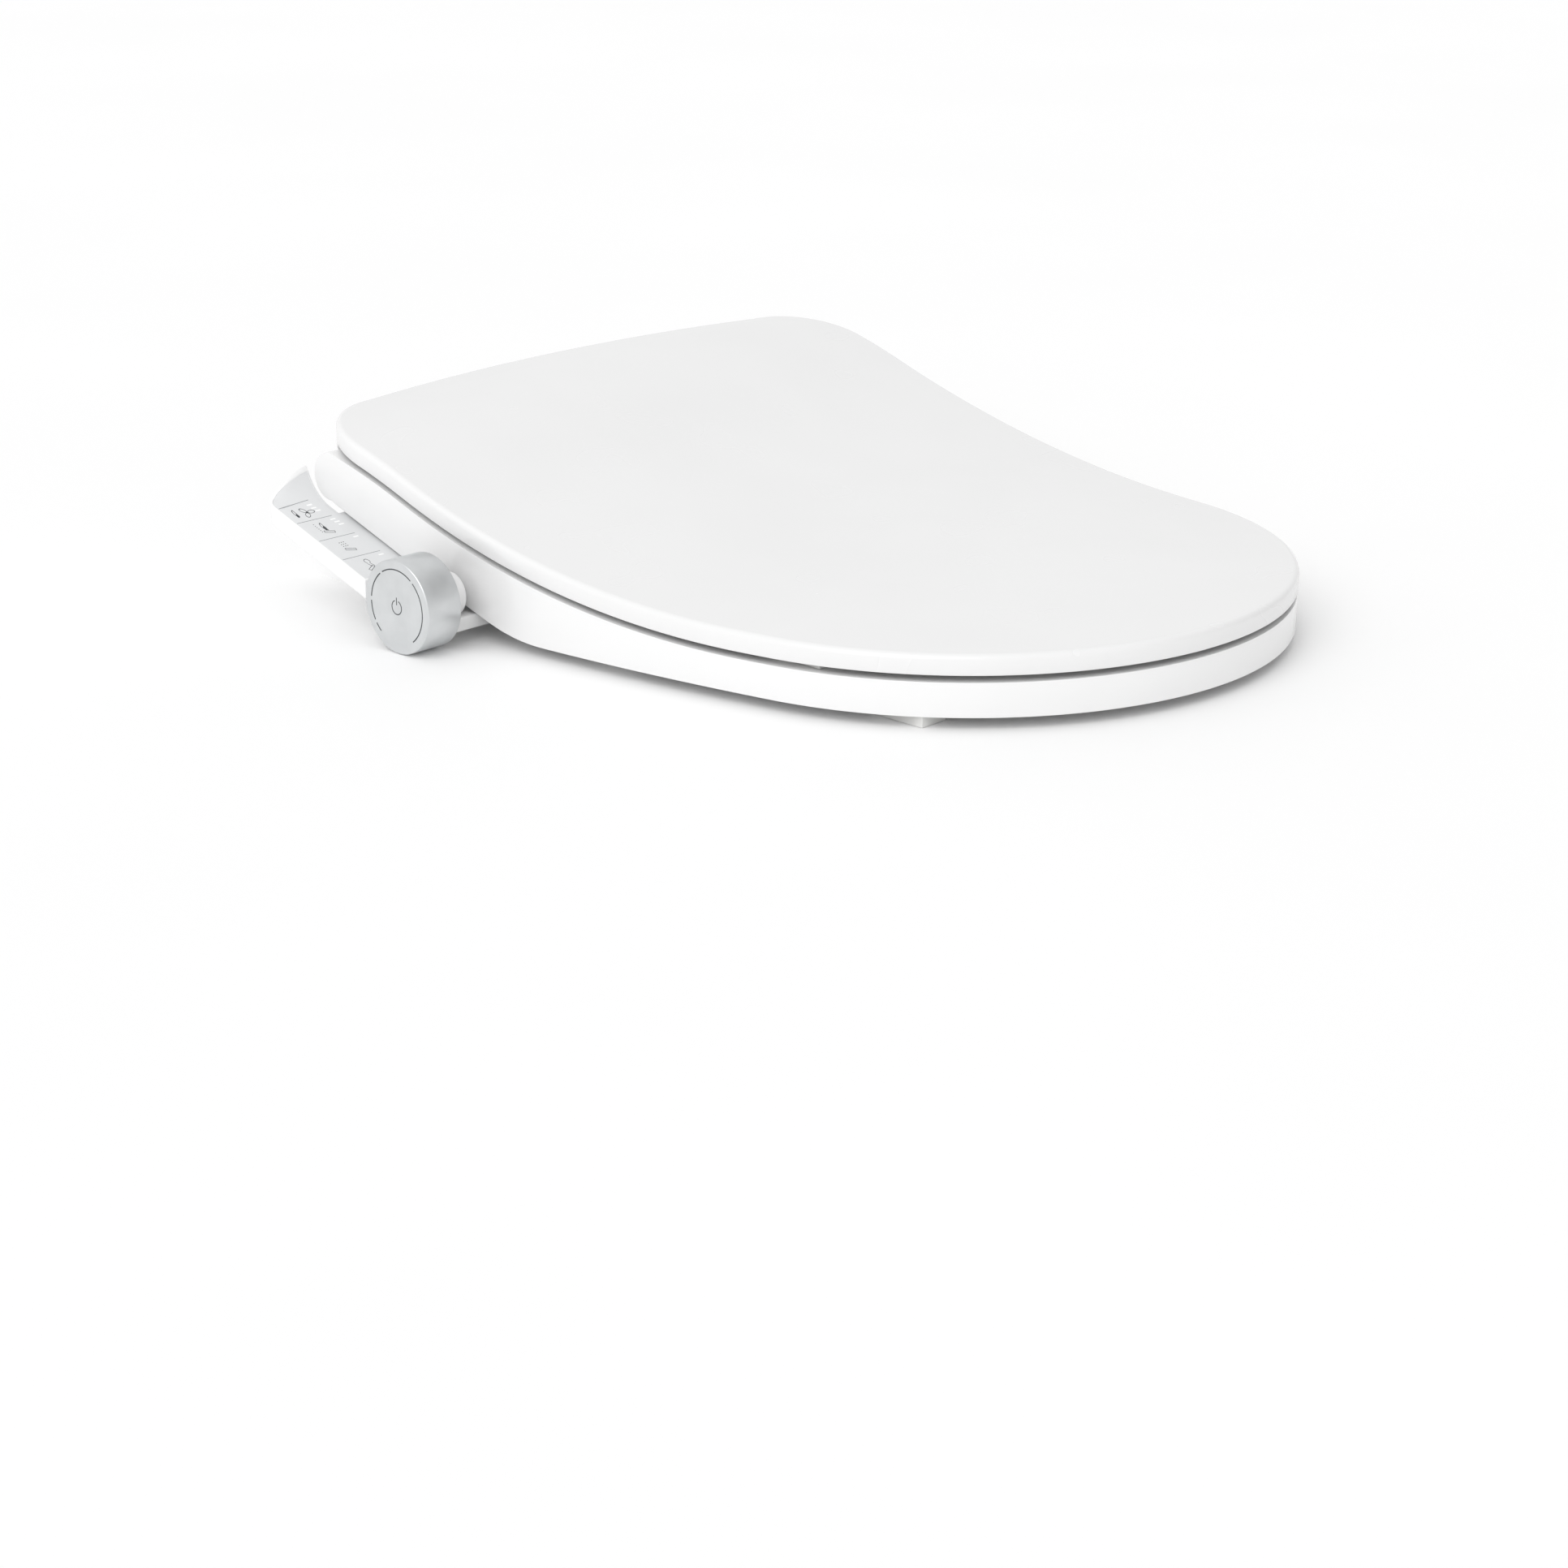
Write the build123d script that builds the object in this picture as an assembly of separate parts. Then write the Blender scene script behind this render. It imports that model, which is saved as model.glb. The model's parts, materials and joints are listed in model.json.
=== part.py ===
"""Electric bidet seat: a lid and a heated seat on one hinge line, and a base with a control wing.

The origin is midway between the two bowl bolts, on the bowl's rim plane. +Z is up, -Y points to the
front of the seat, and the control wing is on -X, at the right hand of the person who sits.
"""
from build123d import *
import math
import os

# --- Plan outline, shared by the lid and the seat ---
HALF_WIDTH = 188.0
NOSE_Y, NOSE_R = -247.0, 170.0
SIDE_R = 1150.0
CORNER_R = 45.0
CORNER_Y = -14.0
REAR_Y = 41.0

# --- Side profile of the lid's top: flat, rising, then easing off towards the rear ---
LID_TOP = 36.0
FLAT_END_Y = -265.0
RISE_R = 644.0
CREST_Y, CREST_R, CREST_TURN = -45.0, 443.0, 12.6
LID_WALL = 3.0
LID_RIM = 10.0
SKIRT_FRONT_Y, SKIRT_BOTTOM = 22.5, 68.0

# --- Seat ring ---
SEAT_GAP = 3.3
SEAT_DROP = LID_RIM + SEAT_GAP
SEAT_BOTTOM = 6.0
SEAT_WALL = 3.0
BEND_Y, SLOPE = -125.0, 0.345
OPENING_Y, OPENING_HALF_X, OPENING_HALF_Y = -215.0, 112.0, 122.0
ARM_INNER_X, ARM_OUTER_X = 138.0, 187.5
ARM_FRONT_Y = -55.0
BUMPER_SIZE = (16, 30)

# --- Hinge line ---
HINGE_Y, HINGE_Z = 9.0, 65.0
PIN_R, PIN_FIT = 5.0, 0.05
ARM_END_R = 12.5
LUG_X, LUG_R = (127.0, 137.0), 11.0
DAMPER_X = (62.0, 103.0)

# --- Housing between the arms ---
HOUSING_X = 126.0
HOUSING_FRONT_Y, HOUSING_REAR_Y = -49.0, 4.0
HOUSING_DROP = 8.0
HOUSING_WALL = 2.5
BARREL_R = 17.0

# --- Base tray on the bowl ---
TRAY_FRONT_X, TRAY_REAR_X = 171.0, 161.0
TRAY_REAR_Y = 64.0
TRAY_TOP = 16.0
FLOOR_Z, RECESS_REAR_Y = 8.9, 34.0
SCREW_X, SCREW_Y, BOSS_TOP = 118.5, -42.8, 26.0

# --- Bowl bolts ---
BOLT_SPACING = 155.0
SHANK_R, THREAD_R, NECK_R = 4.0, 3.7, 3.9
CERAMIC = 25.0
BOLT_END = -70.0
PLATE = (96.0, 28.0, 4.0)

# --- Control wing ---
WING_OUT_X, WING_IN_X = -218.0, -140.0
WING_FRONT_Y, WING_REAR_Y = -53.0, 17.0
WING_CLEAR = 1.5
WING_THICK = 10.0
OVERLAY = 0.8
LIP_TOP = 70.0
LIP_IN_X = -189.5
KEY_LINES_Y = (14.8, 0.4, -16.7, -34.5)
LIGHT_BARS = (3, 3, 1, 1)

# --- Knob ---
KNOB_Y, KNOB_Z, KNOB_R = -86.0, 23.7, 23.5
KNOB_FACE_X, KNOB_BACK_X = -226.0, -205.0
SHAFT_R = 3.0

# --- Spray nozzle, pointing down and forward ---
NOZZLE_TILT = 38.0
NOZZLE_MOUTH = (0.0, -46.0, 15.0)
NOZZLE_R = 5.5
NOZZLE_LENGTH = 52.0
RACK_MODULE = 1.0
PINION_TEETH = 12

# --- Dryer, with its fan on an axis along X ---
FAN_Y, FAN_Z = -20.0, 36.0
FAN_R, CASING_R = 14.8, 18.0
CASING_X = (76.0, 108.0)
BLADES = 16

# --- Ports and openings in the walls ---
FRONT_WALL = (HOUSING_FRONT_Y, HOUSING_FRONT_Y + HOUSING_WALL)
SENSOR_WINDOW = ((-70, -46), FRONT_WALL, (38, 50))
GRILLE = ((74, 110), FRONT_WALL, (18, 29))
GLAND_X, GLAND_Z, GLAND_R = 120.0, 7.3, 6.0
BUTTON_Y, BUTTON_Z, BUTTON_R = 35.0, 7.0, 5.0
INLET_Y, INLET_Z, INLET_R = -14.0, 24.0, 10.48
INLET_X = (169.0, 185.0)

WIDE = 300.0


def outline(inset=0.0):
    """Plan face of the lid, with its edge moved inwards by inset."""
    side_x = HALF_WIDTH - SIDE_R
    side_y = NOSE_Y + math.sqrt((SIDE_R - NOSE_R) ** 2 - side_x**2)
    turn = math.degrees(math.asin((side_y - NOSE_Y) / (SIDE_R - NOSE_R)))
    corner_x = HALF_WIDTH - CORNER_R
    corner_top = CORNER_Y + CORNER_R
    edges = [
        CenterArc((0, NOSE_Y), NOSE_R, turn - 180, 180 - 2 * turn),
        CenterArc((side_x, side_y), SIDE_R, -turn, turn),
        Line((HALF_WIDTH, side_y), (HALF_WIDTH, CORNER_Y)),
        CenterArc((corner_x, CORNER_Y), CORNER_R, 0, 90),
        ThreePointArc((corner_x, corner_top), (0, REAR_Y), (-corner_x, corner_top)),
        CenterArc((-corner_x, CORNER_Y), CORNER_R, 90, 90),
        Line((-HALF_WIDTH, CORNER_Y), (-HALF_WIDTH, side_y)),
        CenterArc((-side_x, side_y), SIDE_R, 180, turn),
    ]
    face = make_face(edges)
    return offset(face, amount=-inset) if inset else face


def prism(face):
    """Tall upright solid on a plan face."""
    return extrude(Pos(0, 0, -100) * face, 300)


def block(x, y, z):
    """Box between two limits along each axis."""
    size = [high - low for low, high in (x, y, z)]
    centre = [(high + low) / 2 for low, high in (x, y, z)]
    return Pos(*centre) * Box(*size)


def bar_x(radius, x, y, z):
    """Round bar along X between the two limits in x."""
    low, high = min(x), max(x)
    return Pos((low + high) / 2, y, z) * Rot(0, 90, 0) * Cylinder(radius, high - low)


def both_sides(solid):
    """A solid and its mirror image across the middle plane."""
    return solid + mirror(solid, about=Plane.YZ)


def lid_curve(drop):
    """Side profile of the lid's top, lowered by drop."""
    rise_turn = math.degrees(math.asin((CREST_Y - FLAT_END_Y) / RISE_R))
    flat = Line((-WIDE * 1.5, LID_TOP - drop), (FLAT_END_Y, LID_TOP - drop))
    rise = JernArc(flat @ 1, flat % 1, RISE_R, rise_turn)
    crest = JernArc(rise @ 1, rise % 1, CREST_R, -CREST_TURN)
    return [flat, rise, crest]


def underside(lift):
    """Side profile of the seat's underside, raised by lift: flat, then sloping up to the hinge."""
    start = (-WIDE * 1.5, SEAT_BOTTOM + lift)
    bend = (BEND_Y, SEAT_BOTTOM + lift)
    end = (60, SEAT_BOTTOM + lift + SLOPE * (60 - BEND_Y))
    return [Line(start, bend), Line(bend, end)]


def between(upper, lower):
    """Solid across the whole width between two side profiles."""
    ends = [Line(upper[-1] @ 1, lower[-1] @ 1), Line(upper[0] @ 0, lower[0] @ 0)]
    return extrude(Plane.YZ * make_face(upper + lower + ends), WIDE, both=True)


def side_plate(points, x):
    """Flat plate cut to a YZ polygon, between two limits in x."""
    low, high = min(x), max(x)
    face = make_face(Polyline(*points, close=True))
    return extrude(Plane.YZ.offset(low) * face, high - low)


def wing_height(y):
    """Height of the wing's top at y, just under the seat arm."""
    return SEAT_BOTTOM + SLOPE * (y - BEND_Y) - WING_CLEAR


# --- Lid ---
def lid_shell():
    top = prism(outline()) & between(lid_curve(0), lid_curve(LID_WALL))
    ring = prism(outline()) - prism(outline(LID_WALL))
    rim = ring & between(lid_curve(LID_WALL / 2), lid_curve(LID_RIM))
    skirt_zone = block((-WIDE, WIDE), (SKIRT_FRONT_Y, 60), (SKIRT_BOTTOM, 93))
    return top + rim + (ring & skirt_zone)


def lid_hinge_frame():
    """Stiffening bar under the lid, with the two lugs that turn on the hinge pins."""
    reach = between(lid_curve(LID_WALL), lid_curve(LID_WALL + 2.5))
    bar = reach & block((-LUG_X[1], LUG_X[1]), (-18, 20), (50, 120))
    front, rear = HINGE_Y - LUG_R, HINGE_Y + LUG_R
    web = [(front, HINGE_Z), (rear, HINGE_Z), (rear, 120), (front, 120)]
    lug = side_plate(web, LUG_X) & between(lid_curve(LID_WALL), [Line((-450, 40), (55, 40))])
    lug += bar_x(LUG_R, LUG_X, HINGE_Y, HINGE_Z)
    lug -= bar_x(PIN_R + PIN_FIT, LUG_X, HINGE_Y, HINGE_Z)
    return bar + both_sides(lug)


def lid_bumpers():
    pad = block((140, 140 + BUMPER_SIZE[0]), (-300, -300 + BUMPER_SIZE[1]), (0, 60))
    rear = block((150, 150 + BUMPER_SIZE[0]), (-150, -150 + BUMPER_SIZE[1]), (0, 90))
    gap = between(lid_curve(LID_WALL), lid_curve(SEAT_DROP - 0.3))
    return both_sides((pad & gap) + (rear & gap))


# --- Seat ring ---
def opening(grow=0.0):
    return prism(Pos(0, OPENING_Y) * Ellipse(OPENING_HALF_X + grow, OPENING_HALF_Y + grow))


def arm_slot(grow=0.0):
    """Space between the two arms, where the housing stands."""
    half = ARM_INNER_X + grow
    return block((-half, half), (ARM_FRONT_Y - grow, 60), (-20, 150))


def arm_ends(x):
    return both_sides(bar_x(ARM_END_R, x, HINGE_Y, HINGE_Z))


def seat_shell():
    upper = prism(outline(0.5)) & between(lid_curve(SEAT_DROP), underside(0))
    upper &= block((-WIDE, WIDE), (-450, HINGE_Y), (-20, 150))
    upper -= opening()
    upper -= arm_slot()
    hollow = prism(outline(SEAT_WALL)) & between(lid_curve(SEAT_DROP + SEAT_WALL), underside(-1))
    hollow &= block((-WIDE, WIDE), (-450, HINGE_Y - 20), (-20, 150))
    hollow -= opening(SEAT_WALL)
    hollow -= arm_slot(SEAT_WALL)
    seat = upper - hollow + arm_ends((ARM_INNER_X, ARM_OUTER_X))
    blind = 6
    return seat - both_sides(bar_x(PIN_R + PIN_FIT, (ARM_INNER_X, ARM_OUTER_X - blind), HINGE_Y, HINGE_Z))


def seat_inner(low, high, inset):
    """Layer inside the seat, between two profiles and away from its walls."""
    layer = prism(outline(inset)) & between(low, high)
    layer &= block((-WIDE, WIDE), (-450, HINGE_Y - 20 - inset), (-20, 150))
    return layer - opening(inset) - arm_slot(inset)


def seat_underplate():
    return seat_inner(underside(2.5), underside(0), SEAT_WALL + 0.2)


def seat_heater():
    top = SEAT_DROP + SEAT_WALL
    return seat_inner(lid_curve(top + 0.1), lid_curve(top + 0.6), SEAT_WALL + 6)


def seat_bumpers():
    front = block((120, 120 + BUMPER_SIZE[0]), (-345, -345 + BUMPER_SIZE[1]), (0.2, SEAT_BOTTOM))
    rear = block((148, 148 + BUMPER_SIZE[0]), (-190, -190 + BUMPER_SIZE[1]), (0.2, SEAT_BOTTOM))
    return both_sides(front + rear)


# --- Hinge ---
def hinge_pins():
    return both_sides(bar_x(PIN_R, (DAMPER_X[1], ARM_OUTER_X - 8), HINGE_Y, HINGE_Z))


def damper(x):
    """Closed cylinder of silicone oil that slows a hinge, with the key that meets its pin."""
    inner, outer = x
    drum = bar_x(11, x, HINGE_Y, HINGE_Z)
    key = block((inner + 2, outer - 2), (HINGE_Y - 2, HINGE_Y + 2), (HINGE_Z - 14, HINGE_Z - 9))
    return drum + key


# --- Housing ---
def rod(radius, low, high):
    """Upright round bar between two heights."""
    return Pos(0, 0, (low + high) / 2) * Cylinder(radius, high - low)


def at_screws(solid):
    return Pos(-SCREW_X, SCREW_Y) * solid + Pos(SCREW_X, SCREW_Y) * solid


def housing_body(grow=0.0):
    """Housing between the arms: a box under the lid, with the hinge barrel at its top rear edge."""
    half = HOUSING_X - grow
    front, rear = HOUSING_FRONT_Y + grow, HOUSING_REAR_Y - grow
    floor = between(lid_curve(HOUSING_DROP + grow), [Line((-450, TRAY_TOP - grow), (55, TRAY_TOP - grow))])
    box = block((-half, half), (front, rear), (0, 120)) & floor
    neck = block((-half, half), (rear - 1, HINGE_Y), (HINGE_Z, 120)) & floor
    return box + neck + bar_x(BARREL_R - grow, (-half, half), HINGE_Y, HINGE_Z)


def upper_housing():
    rib = block((-1, 1), (-4, -1.5), (TRAY_TOP, BOSS_TOP))
    bosses = at_screws(rod(3.5, FLOOR_Z + 2, BOSS_TOP) + rib - rod(1.5, FLOOR_Z, FLOOR_Z + 10))
    shell = housing_body() - housing_body(HOUSING_WALL) + bosses
    shell -= bar_x(PIN_R, (-WIDE, WIDE), HINGE_Y, HINGE_Z)
    return shell - nozzle_path(NOZZLE_R + 4.5) - block(*SENSOR_WINDOW) - block(*GRILLE)


def sensor_window():
    return block(*SENSOR_WINDOW)


def tray_plan(inset=0.0):
    """Plan of the base: narrower at the rear."""
    front, rear = TRAY_FRONT_X - inset, TRAY_REAR_X - inset
    low, high = HOUSING_FRONT_Y + inset, TRAY_REAR_Y - inset
    points = [(-front, low), (front, low), (rear, high), (-rear, high)]
    face = make_face(Polyline(*points, close=True))
    return fillet(face.vertices(), 6)


def base_tray():
    """Base that carries everything: side walls, a floor over the mounting plate and a low rear deck."""
    wall = 2.5
    tray = extrude(tray_plan(), TRAY_TOP)
    inside = extrude(Pos(0, 0, -1) * tray_plan(wall), TRAY_TOP - wall + 1)
    half, front, rear = HOUSING_X - wall, HOUSING_FRONT_Y + wall, HOUSING_REAR_Y - wall
    well = block((-half, half), (front, rear), (9, 30))
    half = HOUSING_X - wall
    floor = block((-half, half), (HOUSING_FRONT_Y + wall, RECESS_REAR_Y), (FLOOR_Z, FLOOR_Z + 2))
    tray = tray - inside - well + floor - at_screws(rod(1.6, FLOOR_Z - 1, FLOOR_Z + 3))
    tray -= nozzle_path(NOZZLE_R + 4.5)
    tray -= Pos(GLAND_X, TRAY_REAR_Y, GLAND_Z) * Rot(90, 0, 0) * Cylinder(GLAND_R, 12)
    return tray - bar_x(BUTTON_R + 0.4, (150, 190), BUTTON_Y, BUTTON_Z)


def cord_gland():
    """Ring that the mains cord passes through."""
    ring = Cylinder(GLAND_R, 8) + Pos(0, 0, -4) * Cylinder(GLAND_R + 1, 1.5)
    return Pos(GLAND_X, TRAY_REAR_Y - 3.25, GLAND_Z) * Rot(90, 0, 0) * (ring - Cylinder(3.6, 20))


def inlet_valve():
    """Water valve in its own pod at the side of the housing, under the seat arm."""
    pod = block((HOUSING_X + 1, INLET_X[0]), (-34, 4), (TRAY_TOP, 36.5))
    pod = fillet(pod.edges().filter_by(Axis.Z), 4)
    return pod - bar_x(6, (150, INLET_X[0]), INLET_Y, INLET_Z)


def inlet_fitting():
    """Male half-inch pipe thread, shown as its outside cylinder on a neck."""
    low, high = INLET_X
    body = bar_x(9, (low, low + 3), INLET_Y, INLET_Z)
    body += bar_x(INLET_R, (low + 3, high), INLET_Y, INLET_Z)
    return body - bar_x(6, INLET_X, INLET_Y, INLET_Z)


def inlet_filter():
    return bar_x(5.6, (155, 180), INLET_Y, INLET_Z) - bar_x(4.6, (158, 180), INLET_Y, INLET_Z)


def release_button():
    head = bar_x(BUTTON_R, (152, 166.5), BUTTON_Y, BUTTON_Z)
    return head + bar_x(BUTTON_R + 1, (150, 152), BUTTON_Y, BUTTON_Z)


def release_spring():
    """Spring behind the button, as the tube that its coils fill, with its fixed wall."""
    coil = bar_x(3.5, (141, 150), BUTTON_Y, BUTTON_Z) - bar_x(2.5, (141, 150), BUTTON_Y, BUTTON_Z)
    return coil


def button_stop():
    return block((138, 141), (BUTTON_Y - 8, BUTTON_Y + 8), (1, TRAY_TOP - 2.5))


# --- Fixing to the bowl ---
def at_bolts(solid):
    return Pos(-BOLT_SPACING / 2, 0) * solid + Pos(BOLT_SPACING / 2, 0) * solid


def mounting_plate():
    half_x, half_y, top = PLATE
    plate = block((-half_x, half_x), (-half_y, half_y), (0, top))
    plate = fillet(plate.edges().filter_by(Axis.Z), 5)
    slot = extrude(SlotOverall(24, 2 * (NECK_R + 0.4)), top)
    return plate - at_bolts(slot)


def bowl_bolts():
    head = block((-8, 8), (-8, 8), (PLATE[2], PLATE[2] + 3.5))
    bolt = head + rod(NECK_R, 0, PLATE[2]) + rod(SHANK_R, -CERAMIC, 0)
    return at_bolts(bolt + rod(THREAD_R, BOLT_END, -CERAMIC))


def bolt_washers():
    ring = rod(11, -CERAMIC - 4.5, -CERAMIC - 0.5) - rod(THREAD_R + 0.1, -CERAMIC - 5, -CERAMIC)
    return at_bolts(ring)


def bolt_nuts():
    top, bottom = -CERAMIC - 4.6, -CERAMIC - 17
    wing = rod(8, bottom, top) + block((-17, 17), (-2, 2), (bottom, top - 5))
    return at_bolts(wing - rod(THREAD_R + 0.1, bottom - 1, top + 1))


# --- Control wing ---
def wing_profile(drop, front, rear):
    """YZ polygon under the wing's sloping top, from drop below it down to the slab's underside."""
    low = WING_THICK
    return [
        (front, wing_height(front) - drop),
        (rear, wing_height(rear) - drop),
        (rear, wing_height(rear) - low),
        (front, wing_height(front) - low),
    ]


def wing_lip():
    """Curved end of the wing that sweeps up towards the hinge."""
    foot_y = WING_REAR_Y - 1
    foot = (foot_y, wing_height(foot_y))
    top = (26.0, LIP_TOP)
    sweep = ThreePointArc(foot, (22.5, 59.5), top)
    heel = [(29.0, LIP_TOP), (26.5, 52.0), (WING_REAR_Y + 5, 45.0), (foot_y, foot[1] - WING_THICK)]
    back = Polyline(top, *heel, foot)
    face = make_face([sweep, back])
    return extrude(Plane.YZ.offset(WING_OUT_X) * face, LIP_IN_X - WING_OUT_X)


def wing_case():
    """Wing slab, its foot on the base, and the bracket and strut that carry the knob."""
    slab = side_plate(wing_profile(OVERLAY, WING_FRONT_Y, 1), (WING_OUT_X, WING_IN_X))
    slab += side_plate(wing_profile(OVERLAY, 0, WING_REAR_Y), (WING_OUT_X, -172))
    slab += wing_lip()
    flank = [(WING_IN_X - 12, TRAY_TOP), (-168, TRAY_TOP), (-196, 27), (-196, 60), (WING_IN_X - 12, 60)]
    foot = extrude(Plane.XZ * make_face(Polyline(*flank, close=True)), 44, both=True)
    foot &= block((-WIDE, 0), (-49, 3), (0, 100))
    below = [(-60, -5), (20, -5), (20, wing_height(20) - 5), (-60, wing_height(-60) - 5)]
    under = side_plate(below, (-230, 0))
    disc_x, link_y = (-203.5, -190.5), WING_FRONT_Y + 4
    disc = bar_x(11, disc_x, KNOB_Y, KNOB_Z)
    link = side_plate([(KNOB_Y, 14), (link_y, 16), (link_y, 25), (KNOB_Y, 33)], disc_x)
    strut = block((-203, -150), (-97, -72), (7, 14))
    rise = [(-80, 7), (-49.5, 7), (-49.5, 16.2), (-44, 16.2), (-44, 21), (-80, 14)]
    strut += side_plate(rise, (-170, -152))
    case = slab + (foot & under) + disc + link + strut
    pocket_front, pocket_rear = WING_FRONT_Y + 6, -3
    pocket = [
        (pocket_front, wing_height(pocket_front) - OVERLAY),
        (pocket_rear, wing_height(pocket_rear) - OVERLAY),
        (pocket_rear, wing_height(pocket_rear) - 6.5),
        (pocket_front, wing_height(pocket_front) - 6.5),
    ]
    case -= side_plate(pocket, (WING_OUT_X + 6, WING_IN_X - 6))
    case -= bar_x(SHAFT_R + 0.05, (-210, -196), KNOB_Y, KNOB_Z)
    return case - bar_x(8.2, (-198, -192), KNOB_Y, KNOB_Z)


def panel_overlay():
    """Printed sheet on the wing's sloping top, with windows for the light bars."""
    sheet = side_plate(
        [
            (WING_FRONT_Y, wing_height(WING_FRONT_Y)),
            (WING_REAR_Y - 1, wing_height(WING_REAR_Y - 1)),
            (WING_REAR_Y - 1, wing_height(WING_REAR_Y - 1) - OVERLAY),
            (WING_FRONT_Y, wing_height(WING_FRONT_Y) - OVERLAY),
        ],
        (WING_OUT_X + 0.4, WING_IN_X),
    )
    sheet &= block((-WIDE, -172), (-60, 20), (0, 100)) + block((-WIDE, WING_IN_X), (-60, 0), (0, 100))
    return sheet - light_lenses()


def light_lenses():
    """White light bars beside the keys."""
    lenses = None
    for line_y, bars in zip(KEY_LINES_Y, LIGHT_BARS):
        for index in range(bars):
            y = line_y - 1.5 - 2.6 * index
            x = -197.5
            low, high = y - 0.7, y + 0.7
            section = [
                (low, wing_height(low)),
                (high, wing_height(high)),
                (high, wing_height(high) - OVERLAY),
                (low, wing_height(low) - OVERLAY),
            ]
            lens = side_plate(section, (x, x + 6))
            lenses = lens if lenses is None else lenses + lens
    return lenses


def touch_board():
    """Circuit board of the touch keys, set in the slab under the overlay."""
    front, rear = WING_FRONT_Y + 8, -4
    section = [
        (front, wing_height(front) - 4),
        (rear, wing_height(rear) - 4),
        (rear, wing_height(rear) - 5.6),
        (front, wing_height(front) - 5.6),
    ]
    return side_plate(section, (WING_OUT_X + 8, WING_IN_X - 8))


# --- Knob ---
def knob_cap():
    """Metal cap of the knob, with its engraved power ring left to the surface finish."""
    cap = bar_x(KNOB_R, (KNOB_FACE_X, KNOB_BACK_X), KNOB_Y, KNOB_Z)
    cap = chamfer(cap.edges().group_by(Axis.X)[0], 0.8)
    return cap - bar_x(KNOB_R - 1.5, (KNOB_FACE_X + 1.5, KNOB_BACK_X), KNOB_Y, KNOB_Z)


def knob_hub():
    """Plastic hub inside the cap, which turns on the encoder shaft."""
    x = (KNOB_FACE_X + 1.5, KNOB_BACK_X)
    hub = bar_x(6, x, KNOB_Y, KNOB_Z) + bar_x(KNOB_R - 1.5, (x[0], x[0] + 3), KNOB_Y, KNOB_Z)
    hub += block(x, (KNOB_Y - KNOB_R + 2, KNOB_Y + KNOB_R - 2), (KNOB_Z - 1, KNOB_Z + 1))
    hub &= bar_x(KNOB_R - 1.5, x, KNOB_Y, KNOB_Z)
    return hub - bar_x(SHAFT_R + 0.05, (x[0] + 4, x[1]), KNOB_Y, KNOB_Z)


def encoder_shaft():
    """Shaft that carries the knob and slides in when the knob is pressed."""
    shaft = bar_x(SHAFT_R, (KNOB_FACE_X + 5.7, -196.5), KNOB_Y, KNOB_Z)
    return shaft + bar_x(5, (-197.8, -196.3), KNOB_Y, KNOB_Z)


def encoder():
    """Switch body behind the shaft, in the bracket's pocket."""
    return bar_x(8, (-194.2, -192.1), KNOB_Y, KNOB_Z)


# --- Spray nozzle, built along -Y and then tilted ---
NOZZLE_AT = Pos(*NOZZLE_MOUTH) * Rot(NOZZLE_TILT, 0, 0)
PINION_Y, PITCH_Z = 24.0, 8.0
PITCH_R = RACK_MODULE * PINION_TEETH / 2


def bar_y(radius, low, high):
    return Pos(0, (low + high) / 2, 0) * Rot(90, 0, 0) * Cylinder(radius, high - low)


def nozzle_path(radius):
    return NOZZLE_AT * bar_y(radius, -15, 45)


def tooth(height_low, height_high, half_low, half_high):
    """Tooth section in YZ, pointing up from its root."""
    low, high = (half_low, height_low), (half_high, height_high)
    return [(-low[0], low[1]), low, high, (-high[0], high[1])]


def nozzle_tube():
    """Wash tube with the rack on its back that the pinion drives."""
    body = bar_y(NOZZLE_R, 6, NOZZLE_LENGTH)
    rack = block((-2.2, 2.2), (7, NOZZLE_LENGTH), (3, PITCH_Z - 1))
    pitch = math.pi * RACK_MODULE
    count = int((NOZZLE_LENGTH - PINION_Y) / pitch)
    first = -int((PINION_Y - 8) / pitch)
    for index in range(first, count):
        place = PINION_Y + (index + 0.5) * pitch
        section = [(place + y, z) for y, z in tooth(PITCH_Z - 1.2, PITCH_Z + 0.75, 1.0, 0.36)]
        rack += side_plate(section, (-2.2, 2.2))
    return NOZZLE_AT * (body + rack - bar_y(3, 0, NOZZLE_LENGTH - 8))


def nozzle_tip():
    """Tip with its spray holes, pushed on the front of the tube."""
    tip = bar_y(NOZZLE_R, -2, 6) + bar_y(2.9, 6, 12)
    for place in (0.5, 3.0):
        tip -= Pos(0, place, 4) * Cylinder(0.6, 6)
    return NOZZLE_AT * tip


def nozzle_guide():
    """Sleeve that the nozzle slides in, slotted for the rack."""
    sleeve = NOZZLE_AT * bar_y(NOZZLE_R + 2.6, 4, 44)
    saddle = block((-6, 6), (-30, -18), (FLOOR_Z + 2, 30))
    bore = bar_y(NOZZLE_R + 0.08, 0, 60) + block((-2.6, 2.6), (0, 60), (0, 14))
    return sleeve + saddle - NOZZLE_AT * bore


def nozzle_pinion():
    gear = Rot(0, 90, 0) * Cylinder(PITCH_R - 1.1, 4)
    for index in range(PINION_TEETH):
        section = tooth(PITCH_R - 1.6, PITCH_R + 0.75, 0.85, 0.34)
        turn = 180 + index * 360 / PINION_TEETH
        gear += Rot(turn, 0, 0) * side_plate(section, (-2, 2))
    gear -= Rot(0, 90, 0) * Cylinder(1.55, 10)
    return NOZZLE_AT * Pos(0, PINION_Y, PITCH_Z + PITCH_R) * gear


def nozzle_motor():
    can = bar_x(6.5, (4, 22), 0, 0) + bar_x(1.5, (-2.6, 4), 0, 0)
    return NOZZLE_AT * Pos(0, PINION_Y, PITCH_Z + PITCH_R) * can


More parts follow.
